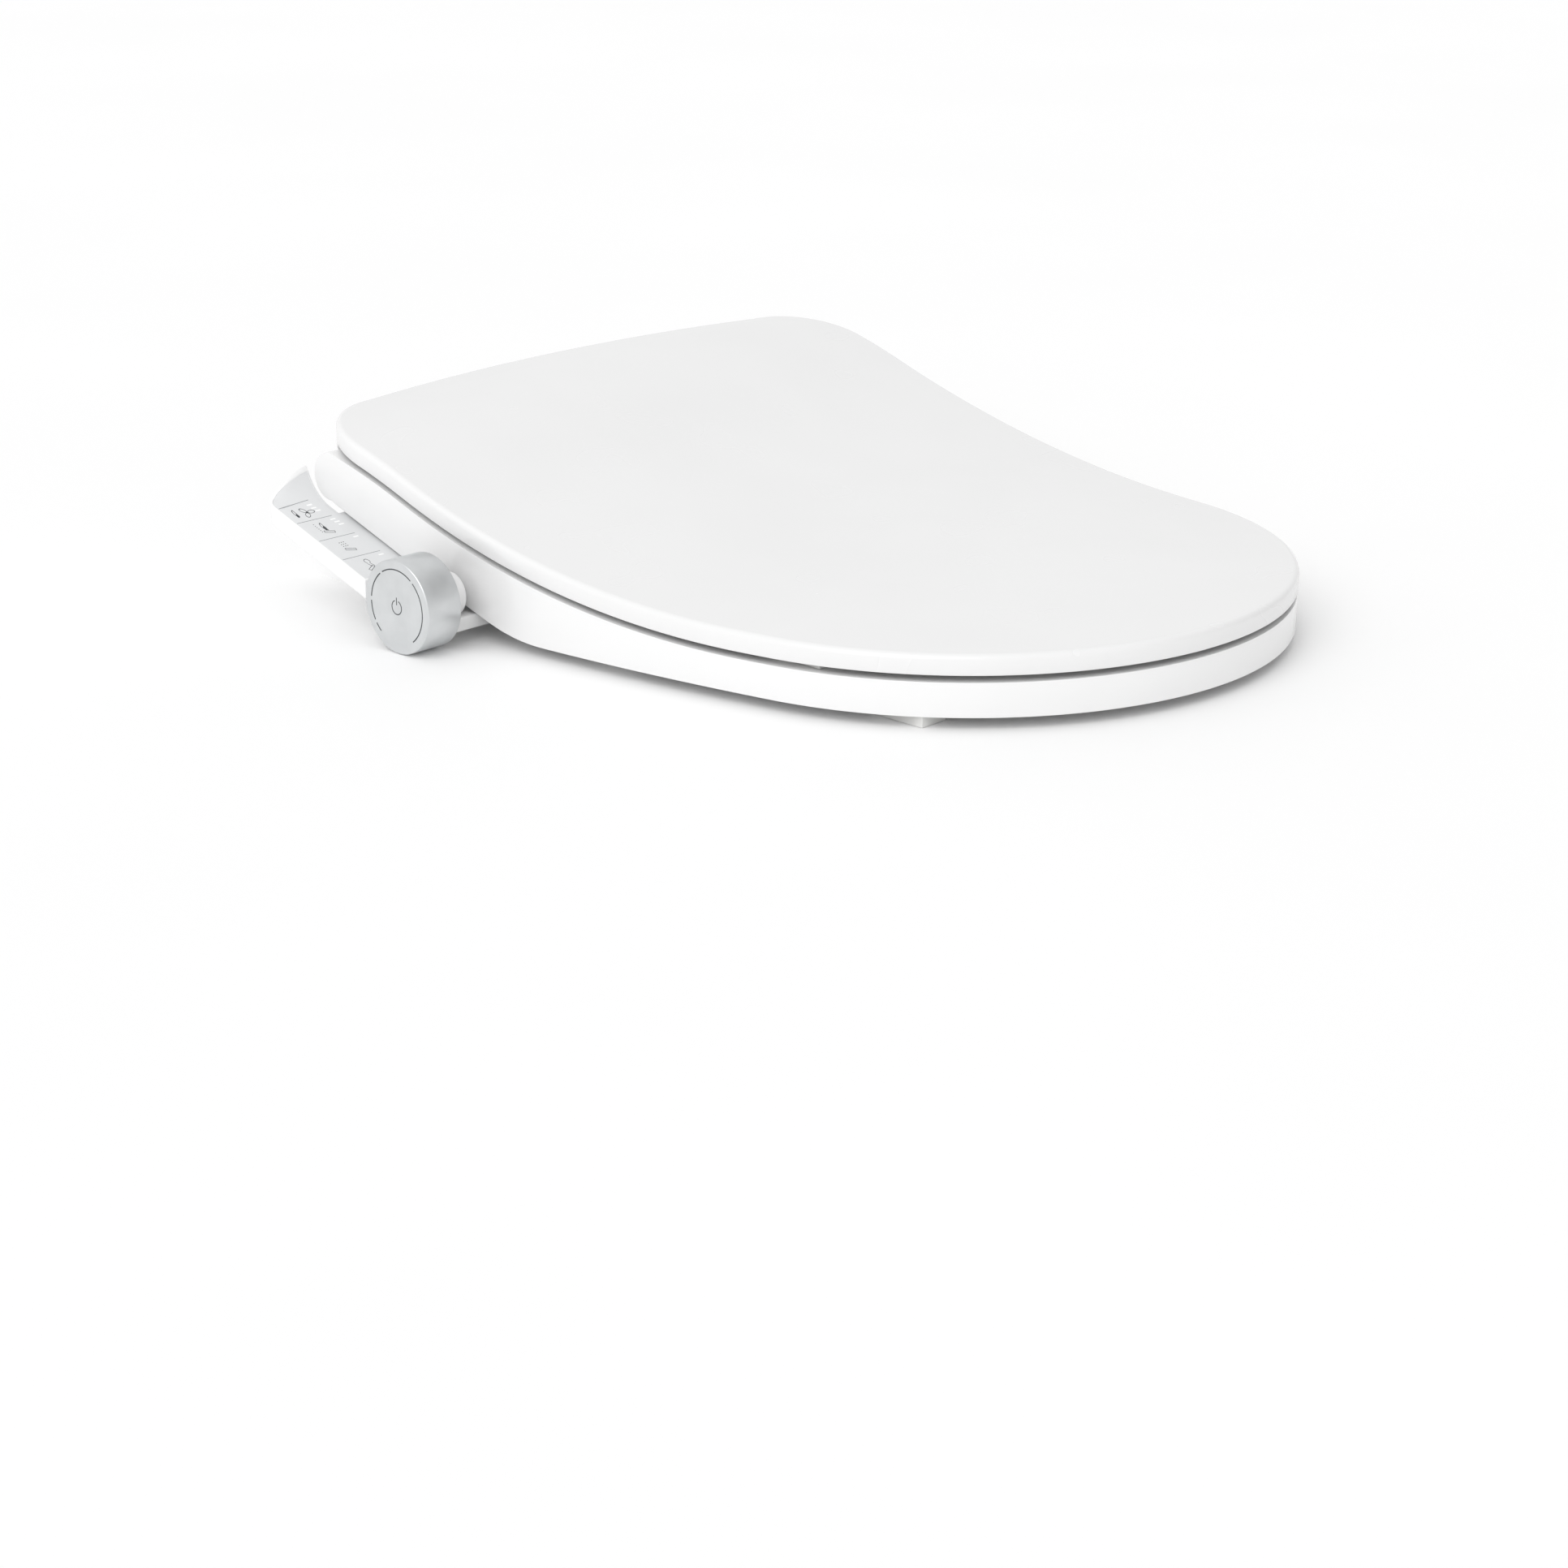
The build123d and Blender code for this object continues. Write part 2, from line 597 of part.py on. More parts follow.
# --- Water and air ---
def water_heater():
    case = fillet(block((-112, -56), (-42, -6), (11, 31)).edges(), 2)
    return case + bar_x(3, (-56, -50), -14, 24)


def water_pump():
    return bar_x(9, (-46, -22), -22, 20) + bar_x(3, (-49, -46), -22, 20)


def water_hose():
    return bar_x(2.4, (26, 122), -8, 13.4) - bar_x(1.6, (26, 122), -8, 13.4)


def dryer_casing():
    low, high = CASING_X
    casing = bar_x(CASING_R, CASING_X, FAN_Y, FAN_Z)
    casing += block(CASING_X, (HOUSING_FRONT_Y + 2.7, FAN_Y), (19, 28))
    casing -= bar_x(CASING_R - 2, (low + 2, high - 2), FAN_Y, FAN_Z)
    casing -= block((low + 2, high - 2), (HOUSING_FRONT_Y, FAN_Y), (21, 26))
    casing -= bar_x(9, (low - 1, low + 3), FAN_Y, FAN_Z)
    return casing - bar_x(2.5, (high - 3, high + 1), FAN_Y, FAN_Z)


def dryer_fan():
    """Fan wheel: a ring of blades on a disc."""
    low, high = CASING_X[0] + 5, CASING_X[1] - 5
    wheel = bar_x(FAN_R, (high - 1.5, high), FAN_Y, FAN_Z) + bar_x(4, (high - 9, high), FAN_Y, FAN_Z)
    blade = block((low, high), (-0.5, 0.5), (FAN_R - 4, FAN_R))
    for index in range(BLADES):
        wheel += Pos(0, FAN_Y, FAN_Z) * Rot(index * 360 / BLADES, 0, 0) * blade
    return wheel - bar_x(1.55, (low, high + 1), FAN_Y, FAN_Z)


def dryer_motor():
    high = CASING_X[1]
    return bar_x(10, (high, high + 12), FAN_Y, FAN_Z) + bar_x(1.5, (high - 13, high), FAN_Y, FAN_Z)


def dryer_grille():
    """Louvres over the dryer's outlet."""
    (left, right), (front, back), (low, high) = GRILLE
    frame = block((left, right), (front, back), (low, high))
    frame -= block((left + 1, right - 1), (front - 1, back + 1), (low + 1, high - 1))
    for index in range(1, 4):
        height = low + index * (high - low) / 4
        frame += block((left, right), (front, back), (height - 0.5, height + 0.5))
    return frame


# --- Electrics ---
def main_board():
    board = block((-118, -20), (-0.1, 1.5), (14, 46))
    for place in range(-110, -30, 20):
        board += block((place, place + 11), (-4, -0.1), (34, 44))
    return board


def power_supply():
    return fillet(block((26, 62), (-42, -14), (11, 34)).edges(), 1.5)


def case_screws():
    """Screws that hold the tray's floor up against the housing's bosses."""
    return at_screws(rod(3.2, FLOOR_Z - 1.6, FLOOR_Z) + rod(1.5, FLOOR_Z, FLOOR_Z + 9.5))


SOLIDS = {
    "lid_shell": lid_shell,
    "lid_hinge_frame": lid_hinge_frame,
    "lid_bumpers": lid_bumpers,
    "seat_shell": seat_shell,
    "seat_underplate": seat_underplate,
    "seat_heater": seat_heater,
    "seat_bumpers": seat_bumpers,
    "hinge_pins": hinge_pins,
    "seat_damper": lambda: damper([-x for x in reversed(DAMPER_X)]),
    "lid_damper": lambda: damper(DAMPER_X),
    "upper_housing": upper_housing,
    "sensor_window": sensor_window,
    "base_tray": base_tray,
    "cord_gland": cord_gland,
    "inlet_valve": inlet_valve,
    "inlet_fitting": inlet_fitting,
    "inlet_filter": inlet_filter,
    "release_button": release_button,
    "release_spring": release_spring,
    "button_stop": button_stop,
    "mounting_plate": mounting_plate,
    "bowl_bolts": bowl_bolts,
    "bolt_washers": bolt_washers,
    "bolt_nuts": bolt_nuts,
    "wing_case": wing_case,
    "panel_overlay": panel_overlay,
    "light_lenses": light_lenses,
    "touch_board": touch_board,
    "knob_cap": knob_cap,
    "knob_hub": knob_hub,
    "encoder_shaft": encoder_shaft,
    "encoder": encoder,
    "nozzle_tube": nozzle_tube,
    "nozzle_tip": nozzle_tip,
    "nozzle_guide": nozzle_guide,
    "nozzle_pinion": nozzle_pinion,
    "nozzle_motor": nozzle_motor,
    "water_heater": water_heater,
    "water_pump": water_pump,
    "water_hose": water_hose,
    "dryer_casing": dryer_casing,
    "dryer_fan": dryer_fan,
    "dryer_motor": dryer_motor,
    "dryer_grille": dryer_grille,
    "main_board": main_board,
    "power_supply": power_supply,
    "case_screws": case_screws,
}

os.makedirs("parts", exist_ok=True)
for node, make in SOLIDS.items():
    export_step(make(), f"parts/{node}.step")
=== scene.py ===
# %% [markdown]
# # Electric bidet seat
# A lid and a heated seat share one hinge line. A base carries them, with a control wing at the
# sitter's right hand: a touch strip and a turning metal knob. The CAD model is the fixed frame, so
# every piece made here takes its place from that frame, in millimetres, and is scaled to metres at
# the end.

# %% Load the frame
import json
import math

import bmesh
import bpy
from mathutils import Matrix, Vector


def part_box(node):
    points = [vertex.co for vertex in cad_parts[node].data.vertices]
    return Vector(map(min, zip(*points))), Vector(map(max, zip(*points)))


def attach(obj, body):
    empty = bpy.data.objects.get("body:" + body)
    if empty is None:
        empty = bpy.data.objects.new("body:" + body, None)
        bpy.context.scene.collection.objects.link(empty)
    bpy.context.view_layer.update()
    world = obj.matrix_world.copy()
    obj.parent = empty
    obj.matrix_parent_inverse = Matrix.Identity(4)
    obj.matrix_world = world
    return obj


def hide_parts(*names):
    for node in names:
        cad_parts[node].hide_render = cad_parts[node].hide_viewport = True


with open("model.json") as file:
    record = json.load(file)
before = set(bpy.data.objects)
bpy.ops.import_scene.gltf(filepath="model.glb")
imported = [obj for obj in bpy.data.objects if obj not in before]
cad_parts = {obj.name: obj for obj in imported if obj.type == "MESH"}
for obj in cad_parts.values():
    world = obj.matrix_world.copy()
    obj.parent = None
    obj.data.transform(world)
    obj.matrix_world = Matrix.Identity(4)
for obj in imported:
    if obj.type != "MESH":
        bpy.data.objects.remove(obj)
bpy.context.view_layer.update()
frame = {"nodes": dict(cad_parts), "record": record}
MM = 0.001
nodes = frame["nodes"]


def box_mm(node):
    """Lowest and highest corner of a CAD node, in millimetres."""
    low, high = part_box(node)
    return low / MM, high / MM


lid_low, lid_high = box_mm("lid_shell")
print("lid", round(lid_high.x - lid_low.x), "mm wide,", round(lid_high.y - lid_low.y), "mm long")

# %% [markdown]
# ## Camera
# A long lens, from the front and on the wing's side, keeps the lid's outline nearly parallel, as in
# a product picture.

# %% Camera
camera_data = bpy.data.cameras.new("camera")
camera_data.lens = 74.53
camera_data.sensor_width = 36
camera = bpy.data.objects.new("camera", camera_data)
bpy.context.collection.objects.link(camera)
camera.location = (-1.19226, -1.25782, 0.471)
camera.rotation_mode = "QUATERNION"
camera.rotation_quaternion = Vector((0.6842, 0.6472, -0.3361)).to_track_quat("-Z", "Y")
bpy.context.scene.camera = camera
print("camera", camera_data.lens, "mm lens")


# %% Colour and node helpers
def srgb(code, alpha=1.0):
    """Linear colour from an sRGB hex value."""
    parts = [int(code[i:i + 2], 16) / 255 for i in (1, 3, 5)]
    linear = [p / 12.92 if p <= 0.04045 else ((p + 0.055) / 1.055) ** 2.4 for p in parts]
    return (*linear, alpha)


def add_node(tree, kind, settings=None, links=None):
    """Adds a node, sets its properties or socket values, and links its inputs."""
    node = tree.nodes.new(kind)
    for name, value in (settings or {}).items():
        if name in node.inputs:
            node.inputs[name].default_value = value
        else:
            setattr(node, name, value)
    for name, source in (links or {}).items():
        tree.links.new(source, node.inputs[name])
    return node


def new_material(name, settings):
    """A material with one Principled shader, and the object coordinates for its patterns."""
    material = bpy.data.materials.new(name)
    material.use_nodes = True
    tree = material.node_tree
    tree.nodes.clear()
    place = add_node(tree, "ShaderNodeTexCoord").outputs["Object"]
    shader = add_node(tree, "ShaderNodeBsdfPrincipled", settings)
    add_node(tree, "ShaderNodeOutputMaterial", links={"Surface": shader.outputs["BSDF"]})
    return material, tree, shader, place


def grain(tree, shader, place, size_mm, height_mm, strength=1.0):
    """A fine moulded or ground texture as a bump, its grains size_mm across."""
    noise = add_node(tree, "ShaderNodeTexNoise", {"Scale": 1 / (size_mm * MM), "Detail": 2.0},
                     {"Vector": place})
    bump = add_node(tree, "ShaderNodeBump", {"Strength": strength, "Distance": height_mm * MM},
                    {"Height": noise.outputs["Fac"]})
    tree.links.new(bump.outputs["Normal"], shader.inputs["Normal"])
    return noise


def vary(tree, shader, place, socket, size_mm, low, high):
    """Lets a shader value drift gently between low and high over patches size_mm across."""
    noise = add_node(tree, "ShaderNodeTexNoise", {"Scale": 1 / (size_mm * MM), "Detail": 1.0},
                     {"Vector": place})
    span = add_node(tree, "ShaderNodeMapRange",
                    {"From Min": 0.3, "From Max": 0.7, "To Min": low, "To Max": high},
                    {"Value": noise.outputs["Fac"]})
    tree.links.new(span.outputs["Result"], shader.inputs[socket])


def vary_colour(tree, shader, place, size_mm, first, second):
    """Drifts the base colour between two hex values over patches size_mm across."""
    noise = add_node(tree, "ShaderNodeTexNoise", {"Scale": 1 / (size_mm * MM), "Detail": 2.0},
                     {"Vector": place})
    ramp = add_node(tree, "ShaderNodeValToRGB", links={"Fac": noise.outputs["Fac"]})
    ramp.color_ramp.elements[0].position = 0.35
    ramp.color_ramp.elements[0].color = srgb(first)
    ramp.color_ramp.elements[1].position = 0.65
    ramp.color_ramp.elements[1].color = srgb(second)
    tree.links.new(ramp.outputs["Color"], shader.inputs["Base Color"])


# %% [markdown]
# ## Materials
# The lid and seat are injection-moulded polypropylene: dense white, with a polished skin that still
# shows a very slight waviness from the mould. Housings are the same white in ABS with a duller,
# spark-eroded grain. The knob is turned aluminium, bead-blasted and anodised clear.

# %% White plastics
def polished_polypropylene(name, colours, roughness):
    """Gloss white moulding: a faint slow waviness, and patches a little glossier than others."""
    material, tree, shader, place = new_material(name, {"IOR": 1.49, "Coat Weight": 0.25,
                                                        "Coat Roughness": 0.06})
    vary_colour(tree, shader, place, 90, *colours)
    vary(tree, shader, place, "Roughness", 40, *roughness)
    grain(tree, shader, place, 26, 0.012, 0.12)
    return material


def eroded_abs(name, colours, roughness, grain_mm=0.9):
    """Satin ABS from a spark-eroded mould: a fine even grain, drawn coarse enough to show."""
    material, tree, shader, place = new_material(name, {"IOR": 1.52})
    vary_colour(tree, shader, place, 60, *colours)
    vary(tree, shader, place, "Roughness", 30, *roughness)
    grain(tree, shader, place, grain_mm, 0.02, 0.5)
    return material


lid_plastic = polished_polypropylene("polypropylene_lid", ("#E9E9E9", "#EBEBEB"), (0.22, 0.28))
seat_plastic = polished_polypropylene("polypropylene_seat", ("#EDEDED", "#EFEFEF"), (0.14, 0.18))
case_plastic = eroded_abs("abs_case", ("#F2F2F2", "#F5F5F5"), (0.30, 0.38))
inner_plastic = eroded_abs("abs_inner", ("#D9D9D6", "#DFDFDC"), (0.45, 0.55))
black_plastic = eroded_abs("abs_black", ("#17181A", "#1D1E20"), (0.40, 0.50))
# The film's grey, a shade darker than the case, is painted shade for the shadow that the seat's arm casts
# on the wing's top.
film_grey_painted_shade = eroded_abs("polycarbonate_film_painted_shade", ("#DADBDC", "#DFE0E1"), (0.32, 0.38), 0.5)


# %% [markdown]
# ## Metals, rubber and ink
# Bead-blasted aluminium has fine even pits. Drawn and turned metals have their noise pulled into
# fine lines, and foil has it even. Silicone is matt with a little sheen. Ink is a flat coat.

# %% Metals, rubber, ink and board
def blasted_anodised_aluminium(name):
    """Clear anodised aluminium, bead-blasted: fine pits that spread the reflection evenly."""
    material, tree, shader, place = new_material(name, {"Metallic": 1.0})
    vary_colour(tree, shader, place, 12, "#D6D8D9", "#DCDEDF")
    vary(tree, shader, place, "Roughness", 8, 0.36, 0.44)
    grain(tree, shader, place, 0.35, 0.012, 0.6)
    return material


def drawn_metal(name, colours, roughness, line_mm, stretch):
    """Drawn, turned or rolled metal: the stretch pulls the noise into lines, or leaves it even."""
    material, tree, shader, place = new_material(name, {"Metallic": 1.0})
    lines = add_node(tree, "ShaderNodeMapping", {"Scale": stretch}, {"Vector": place})
    vary_colour(tree, shader, place, 15, *colours)
    vary(tree, shader, lines.outputs["Vector"], "Roughness", line_mm, *roughness)
    grain(tree, shader, lines.outputs["Vector"], line_mm, 0.01, 0.5)
    return material


def soft_rubber(name, colours):
    """Moulded silicone rubber: matt, with a slight sheen at grazing angles."""
    material, tree, shader, place = new_material(name, {"IOR": 1.42, "Sheen Weight": 0.15})
    vary_colour(tree, shader, place, 20, *colours)
    vary(tree, shader, place, "Roughness", 10, 0.6, 0.72)
    grain(tree, shader, place, 0.6, 0.02, 0.5)
    return material


def printed_ink(name, code):
    """Screen-printed ink: a flat even coat, slightly broken at its own scale."""
    material, tree, shader, place = new_material(name, {"IOR": 1.5})
    vary_colour(tree, shader, place, 2, code, code)
    vary(tree, shader, place, "Roughness", 3, 0.45, 0.55)
    return material


knob_metal = blasted_anodised_aluminium("aluminium_anodised")
steel = drawn_metal("stainless_steel", ("#B9BABC", "#C6C7C9"), (0.25, 0.38), 0.4, (0.05, 1, 1))
brass = drawn_metal("turned_brass", ("#B99A55", "#C9AB66"), (0.25, 0.36), 0.4, (1, 0.05, 0.05))
foil = drawn_metal("aluminium_foil", ("#C4C5C7", "#D0D1D3"), (0.3, 0.4), 3.0, (1, 1, 1))
silicone = soft_rubber("silicone_rubber", ("#DCDCDA", "#E3E3E1"))
hose_silicone = soft_rubber("silicone_hose", ("#E4E4EA", "#ECECF1"))
dark_ink = printed_ink("ink_dark", "#3C3F42")
line_ink = printed_ink("ink_grey", "#8E9194")
light_white = eroded_abs("acrylic_light", ("#FDFDFD", "#FFFFFF"), (0.15, 0.2), 2.0)
board_green = eroded_abs("epoxy_board", ("#1B5A38", "#216641"), (0.35, 0.5), 3.0)
print("materials", len(bpy.data.materials))

# %% [markdown]
# ## The shared outline
# Lid and seat have one plan: a round nose, long flat-curved sides, tight rear corners and a slightly
# crowned back edge. Each arc is one vertex spun about its centre, which keeps the joints between
# arcs tangent. Only the right half is drawn and then mirrored.

# %% Outline by spinning a vertex
HALF_WIDTH = lid_high.x
REAR_Y = lid_high.y
NOSE_R, SIDE_R, CORNER_R = 170, 1150, 45
NOSE_Y = lid_low.y + NOSE_R
CORNER_Y, CROWN = REAR_Y - 55, 10
SIDE_Y = NOSE_Y + math.sqrt((SIDE_R - NOSE_R) ** 2 - (SIDE_R - HALF_WIDTH) ** 2)
SIDE_TURN = math.degrees(math.asin((SIDE_Y - NOSE_Y) / (SIDE_R - NOSE_R)))
CORNER_X = HALF_WIDTH - CORNER_R
REAR_R = (CORNER_X ** 2 + CROWN ** 2) / (2 * CROWN)


def verts_of(geom):
    """The vertices in a list of mesh parts."""
    return [part for part in geom if isinstance(part, bmesh.types.BMVert)]


def arc_from(bm, vert, centre, degrees, steps):
    """Spins a vertex about an upright axis, leaving edges behind it, and returns the last vertex."""
    spun = bmesh.ops.spin(bm, geom=[vert], cent=(*centre, 0), axis=(0, 0, 1),
                          angle=math.radians(degrees), steps=steps)
    return verts_of(spun["geom_last"])[0]


def line_from(bm, vert, x, y):
    """Draws a straight edge from a vertex and returns its far end."""
    end = bmesh.ops.extrude_vert_indiv(bm, verts=[vert])["verts"][0]
    end.co = (x, y, 0)
    return end


def nose_and_side(bm, inset):
    """Half outline from the nose to the straight part of the side."""
    first = bm.verts.new((0, NOSE_Y - NOSE_R + inset, 0))
    last = arc_from(bm, first, (0, NOSE_Y), 90 - SIDE_TURN, 60)
    last = arc_from(bm, last, (HALF_WIDTH - SIDE_R, SIDE_Y), SIDE_TURN, 24)
    return first, last


def lid_half(bm, inset=0.0):
    """Half outline of the lid, from the nose round to the middle of the back edge."""
    first, last = nose_and_side(bm, inset)
    last = line_from(bm, last, HALF_WIDTH - inset, CORNER_Y)
    last = arc_from(bm, last, (CORNER_X, CORNER_Y), 90, 24)
    last = arc_from(bm, last, (0, REAR_Y - REAR_R), math.degrees(math.asin(CORNER_X / REAR_R)), 16)
    last.co.x = 0
    bm.edges.new((last, first))


def fill_and_mirror(bm):
    """Fills the half outline and mirrors it; the middle edge stays."""
    bmesh.ops.edgenet_fill(bm, edges=bm.edges[:])
    geom = bm.verts[:] + bm.edges[:] + bm.faces[:]
    bmesh.ops.mirror(bm, geom=geom, axis="X", merge_dist=0.01)
    bmesh.ops.recalc_face_normals(bm, faces=bm.faces[:])
    if bm.faces[0].normal.z < 0:
        bmesh.ops.reverse_faces(bm, faces=bm.faces[:])


def slice_across(bm, stations):
    """Cuts every face at the given places along Y, so that the shape can bend there."""
    for y in stations:
        geom = bm.verts[:] + bm.edges[:] + bm.faces[:]
        bmesh.ops.bisect_plane(bm, geom=geom, plane_co=(0, y, 0), plane_no=(0, 1, 0), dist=1e-4)


def spaced(low, high, step):
    """Places from low to high, about step apart."""
    count = round((high - low) / step)
    return [low + (high - low) * index / count for index in range(count + 1)]


# %% The lid's rise from nose to hinge
LID_TOP = lid_low.z + 10
FLAT_END, CREST = -265, -45
RISE_R, CREST_R = 644, 443


def lid_height(y):
    """Height of the lid's top: flat, then an arc up, then an arc that eases off."""
    if y < FLAT_END:
        return LID_TOP
    if y < CREST:
        return LID_TOP + RISE_R - math.sqrt(RISE_R ** 2 - (y - FLAT_END) ** 2)
    start = math.asin((CREST - FLAT_END) / RISE_R)
    slope = math.sin(start) - (y - CREST) / CREST_R
    crest_height = LID_TOP + RISE_R * (1 - math.cos(start))
    return crest_height + CREST_R * (math.sqrt(1 - slope ** 2) - math.cos(start))


def ease(value):
    """Smooth step from 0 to 1."""
    value = min(max(value, 0), 1)
    return value * value * (3 - 2 * value)


STATIONS = spaced(FLAT_END, CREST, 9) + spaced(CREST + 6, 8, 6) + spaced(10, REAR_Y - 1, 2)
print("lid height at the back", round(lid_height(REAR_Y), 1), "mm")


# %% Turning a mesh into a piece
def make_piece(bm, name, body, material, stands_for=(), smooth=35):
    """Scales a mesh to metres and makes it an object that rides on a CAD body."""
    bmesh.ops.scale(bm, vec=(MM, MM, MM), verts=bm.verts[:])
    mesh = bpy.data.meshes.new(name)
    bm.to_mesh(mesh)
    bm.free()
    mesh.shade_smooth()
    mesh.set_sharp_from_angle(angle=math.radians(smooth))
    mesh.materials.append(material)
    piece = bpy.data.objects.new(name, mesh)
    bpy.context.collection.objects.link(piece)
    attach(piece, body)
    if stands_for:
        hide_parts(*stands_for)
    return piece


def round_edges(bm, edges, radius, segments=4):
    """Rounds edges with a bevel."""
    return bmesh.ops.bevel(bm, geom=edges, offset=radius, offset_type="OFFSET", segments=segments,
                           profile=0.5, affect="EDGES", clamp_overlap=True, material=-1)


def sharp_edges(bm, degrees=40):
    """Edges where two faces meet at more than this angle."""
    limit = math.radians(degrees)
    return [e for e in bm.edges if len(e.link_faces) == 2 and e.calc_face_angle(0) > limit]


# %% [markdown]
# ## Lid
# The real lid is one thin moulded shell with a rim turned down all round. Behind the hinge the rim
# drops into a skirt that hides the gap at the wall. A flat sheet is given its rim, rounded along
# the top edge, cut across at stations and lifted to the curve. Only then does it get its wall, so
# that the wall is even everywhere.

# %% Lid shell
RIM, LID_WALL, LID_EDGE = 10, 3, 3.2
SKIRT_START, SKIRT_LENGTH, SKIRT_BOTTOM = 8, 18, 68


def rim_bottom(y):
    """Height of the rim's lower edge, which drops behind the hinge."""
    along = lid_height(y) - RIM
    drop = ease((y - SKIRT_START) / SKIRT_LENGTH)
    return along * (1 - drop) + SKIRT_BOTTOM * drop


def make_lid():
    bm = bmesh.new()
    lid_half(bm)
    fill_and_mirror(bm)
    border = [e for e in bm.edges if e.is_boundary]
    walls = bmesh.ops.extrude_edge_only(bm, edges=border)["geom"]
    bmesh.ops.translate(bm, vec=(0, 0, -RIM), verts=verts_of(walls))
    bmesh.ops.recalc_face_normals(bm, faces=bm.faces[:])
    top_loop = [e for e in bm.edges if len(e.link_faces) == 2 and e.calc_face_angle(0) > 1]
    round_edges(bm, top_loop, LID_EDGE, 5)
    slice_across(bm, STATIONS)
    for vert in bm.verts:
        x, y, z = vert.co
        vert.co.z = rim_bottom(y) if z < -RIM / 2 else lid_height(y) + z
    if sum(f.normal.z * f.calc_area() for f in bm.faces) < 0:
        bmesh.ops.reverse_faces(bm, faces=bm.faces[:])
    bmesh.ops.solidify(bm, geom=bm.faces[:], thickness=LID_WALL)
    lower = [e for e in sharp_edges(bm, 60)
             if min(v.co.z - rim_bottom(v.co.y) for v in e.verts) < 0.5]
    round_edges(bm, lower, 0.7, 2)
    return make_piece(bm, "lid", "lid", lid_plastic, ["lid_shell"])


lid = make_lid()
print("lid", len(lid.data.polygons), "faces")

# %% [markdown]
# ## Seat
# The seat is a hollow ring, thick at the back where its two arms reach the hinge. Each arm ends in
# a half-round about the hinge axis. The ring is one closed half slab with the opening cut out, bent
# to two side curves, and the arm's end face is spun into the half-round before it is mirrored.

# %% Seat ring
SEAT_DROP, SEAT_EDGE, POCKET_DEPTH = 13.3, 3.6, 4
SLAB, NEAR = 10, 0.01
SEAT_BOTTOM, BEND_Y, BEND_REACH, SLOPE = 6, -125, 18, 0.345
HINGE_Y, HINGE_Z, ARM_R = 9, 65, 12.5
ARM_IN, ARM_OUT, ARM_FRONT = 138, 187.5, -55
OPENING_Y, OPENING_X, OPENING_LONG = -215, 112, 122


def seat_bottom(y):
    """Height of the seat's underside: level, then a soft bend, then a straight rise."""
    past = y - BEND_Y
    if abs(past) < BEND_REACH:
        return SEAT_BOTTOM + SLOPE * (past + BEND_REACH) ** 2 / (4 * BEND_REACH)
    return SEAT_BOTTOM + SLOPE * max(0, past)


def seat_half(bm, inset):
    """Half outline of the seat ring with its opening and its arm."""
    first, last = nose_and_side(bm, 0.5 + inset)
    arm_end = HINGE_Y - inset * 3
    last = line_from(bm, last, ARM_OUT - inset, arm_end)
    last = line_from(bm, last, ARM_IN + inset, arm_end)
    last = line_from(bm, last, ARM_IN + inset, ARM_FRONT - inset)
    last = line_from(bm, last, 0, ARM_FRONT - inset)
    drawn = set(bm.verts)
    start = bm.verts.new((0, OPENING_Y - OPENING_LONG - inset, 0))
    end = arc_from(bm, start, (0, OPENING_Y), 180, 64)
    end.co.x = 0
    oval = [v for v in bm.verts if v not in drawn]
    narrow = (OPENING_X + inset) / (OPENING_LONG + inset)
    bmesh.ops.scale(bm, vec=(narrow, 1, 1), verts=oval)
    bm.edges.new((last, end))
    bm.edges.new((start, first))
    bmesh.ops.edgenet_fill(bm, edges=bm.edges[:])


def thicken(bm, depth):
    """Extrudes the flat face downwards."""
    if bm.faces[:][0].normal.z < 0:
        bmesh.ops.reverse_faces(bm, faces=bm.faces[:])
    down = bmesh.ops.extrude_face_region(bm, geom=bm.faces[:])["geom"]
    bmesh.ops.translate(bm, vec=(0, 0, -depth), verts=verts_of(down))
    bmesh.ops.recalc_face_normals(bm, faces=bm.faces[:])


def round_arm_end(bm):
    """Replaces the arm's flat end with a half-round about the hinge axis."""
    end_faces = [f for f in bm.faces if all(abs(v.co.y - HINGE_Y) < NEAR for v in f.verts)]
    bmesh.ops.delete(bm, geom=end_faces, context="FACES")
    top = [e for e in bm.edges if e.is_boundary
           and all(abs(v.co.z - HINGE_Z - ARM_R) < NEAR for v in e.verts)]
    spin_geom = top + list({v for e in top for v in e.verts})
    bmesh.ops.spin(bm, geom=spin_geom, cent=(0, HINGE_Y, HINGE_Z), axis=(1, 0, 0),
                   angle=-math.pi, steps=18)
    bmesh.ops.remove_doubles(bm, verts=bm.verts[:], dist=0.02)
    sides = [e for e in bm.edges if e.is_boundary and (e.verts[0].co.x > 1 or e.verts[1].co.x > 1)]
    bmesh.ops.holes_fill(bm, edges=sides, sides=0)


def bend_to_sides(bm):
    """Lifts the flat half slab to the two curves of the seat's side view."""
    for vert in bm.verts:
        x, y, z = vert.co
        at_hinge = abs(y - HINGE_Y) < NEAR
        if z > -SLAB / 2:
            vert.co.z = HINGE_Z + ARM_R if at_hinge else lid_height(y) - SEAT_DROP
        else:
            vert.co.z = HINGE_Z - ARM_R if at_hinge else seat_bottom(y)


def on_middle(part):
    """Whether an edge or face lies in the middle plane."""
    return all(abs(v.co.x) < NEAR for v in part.verts)


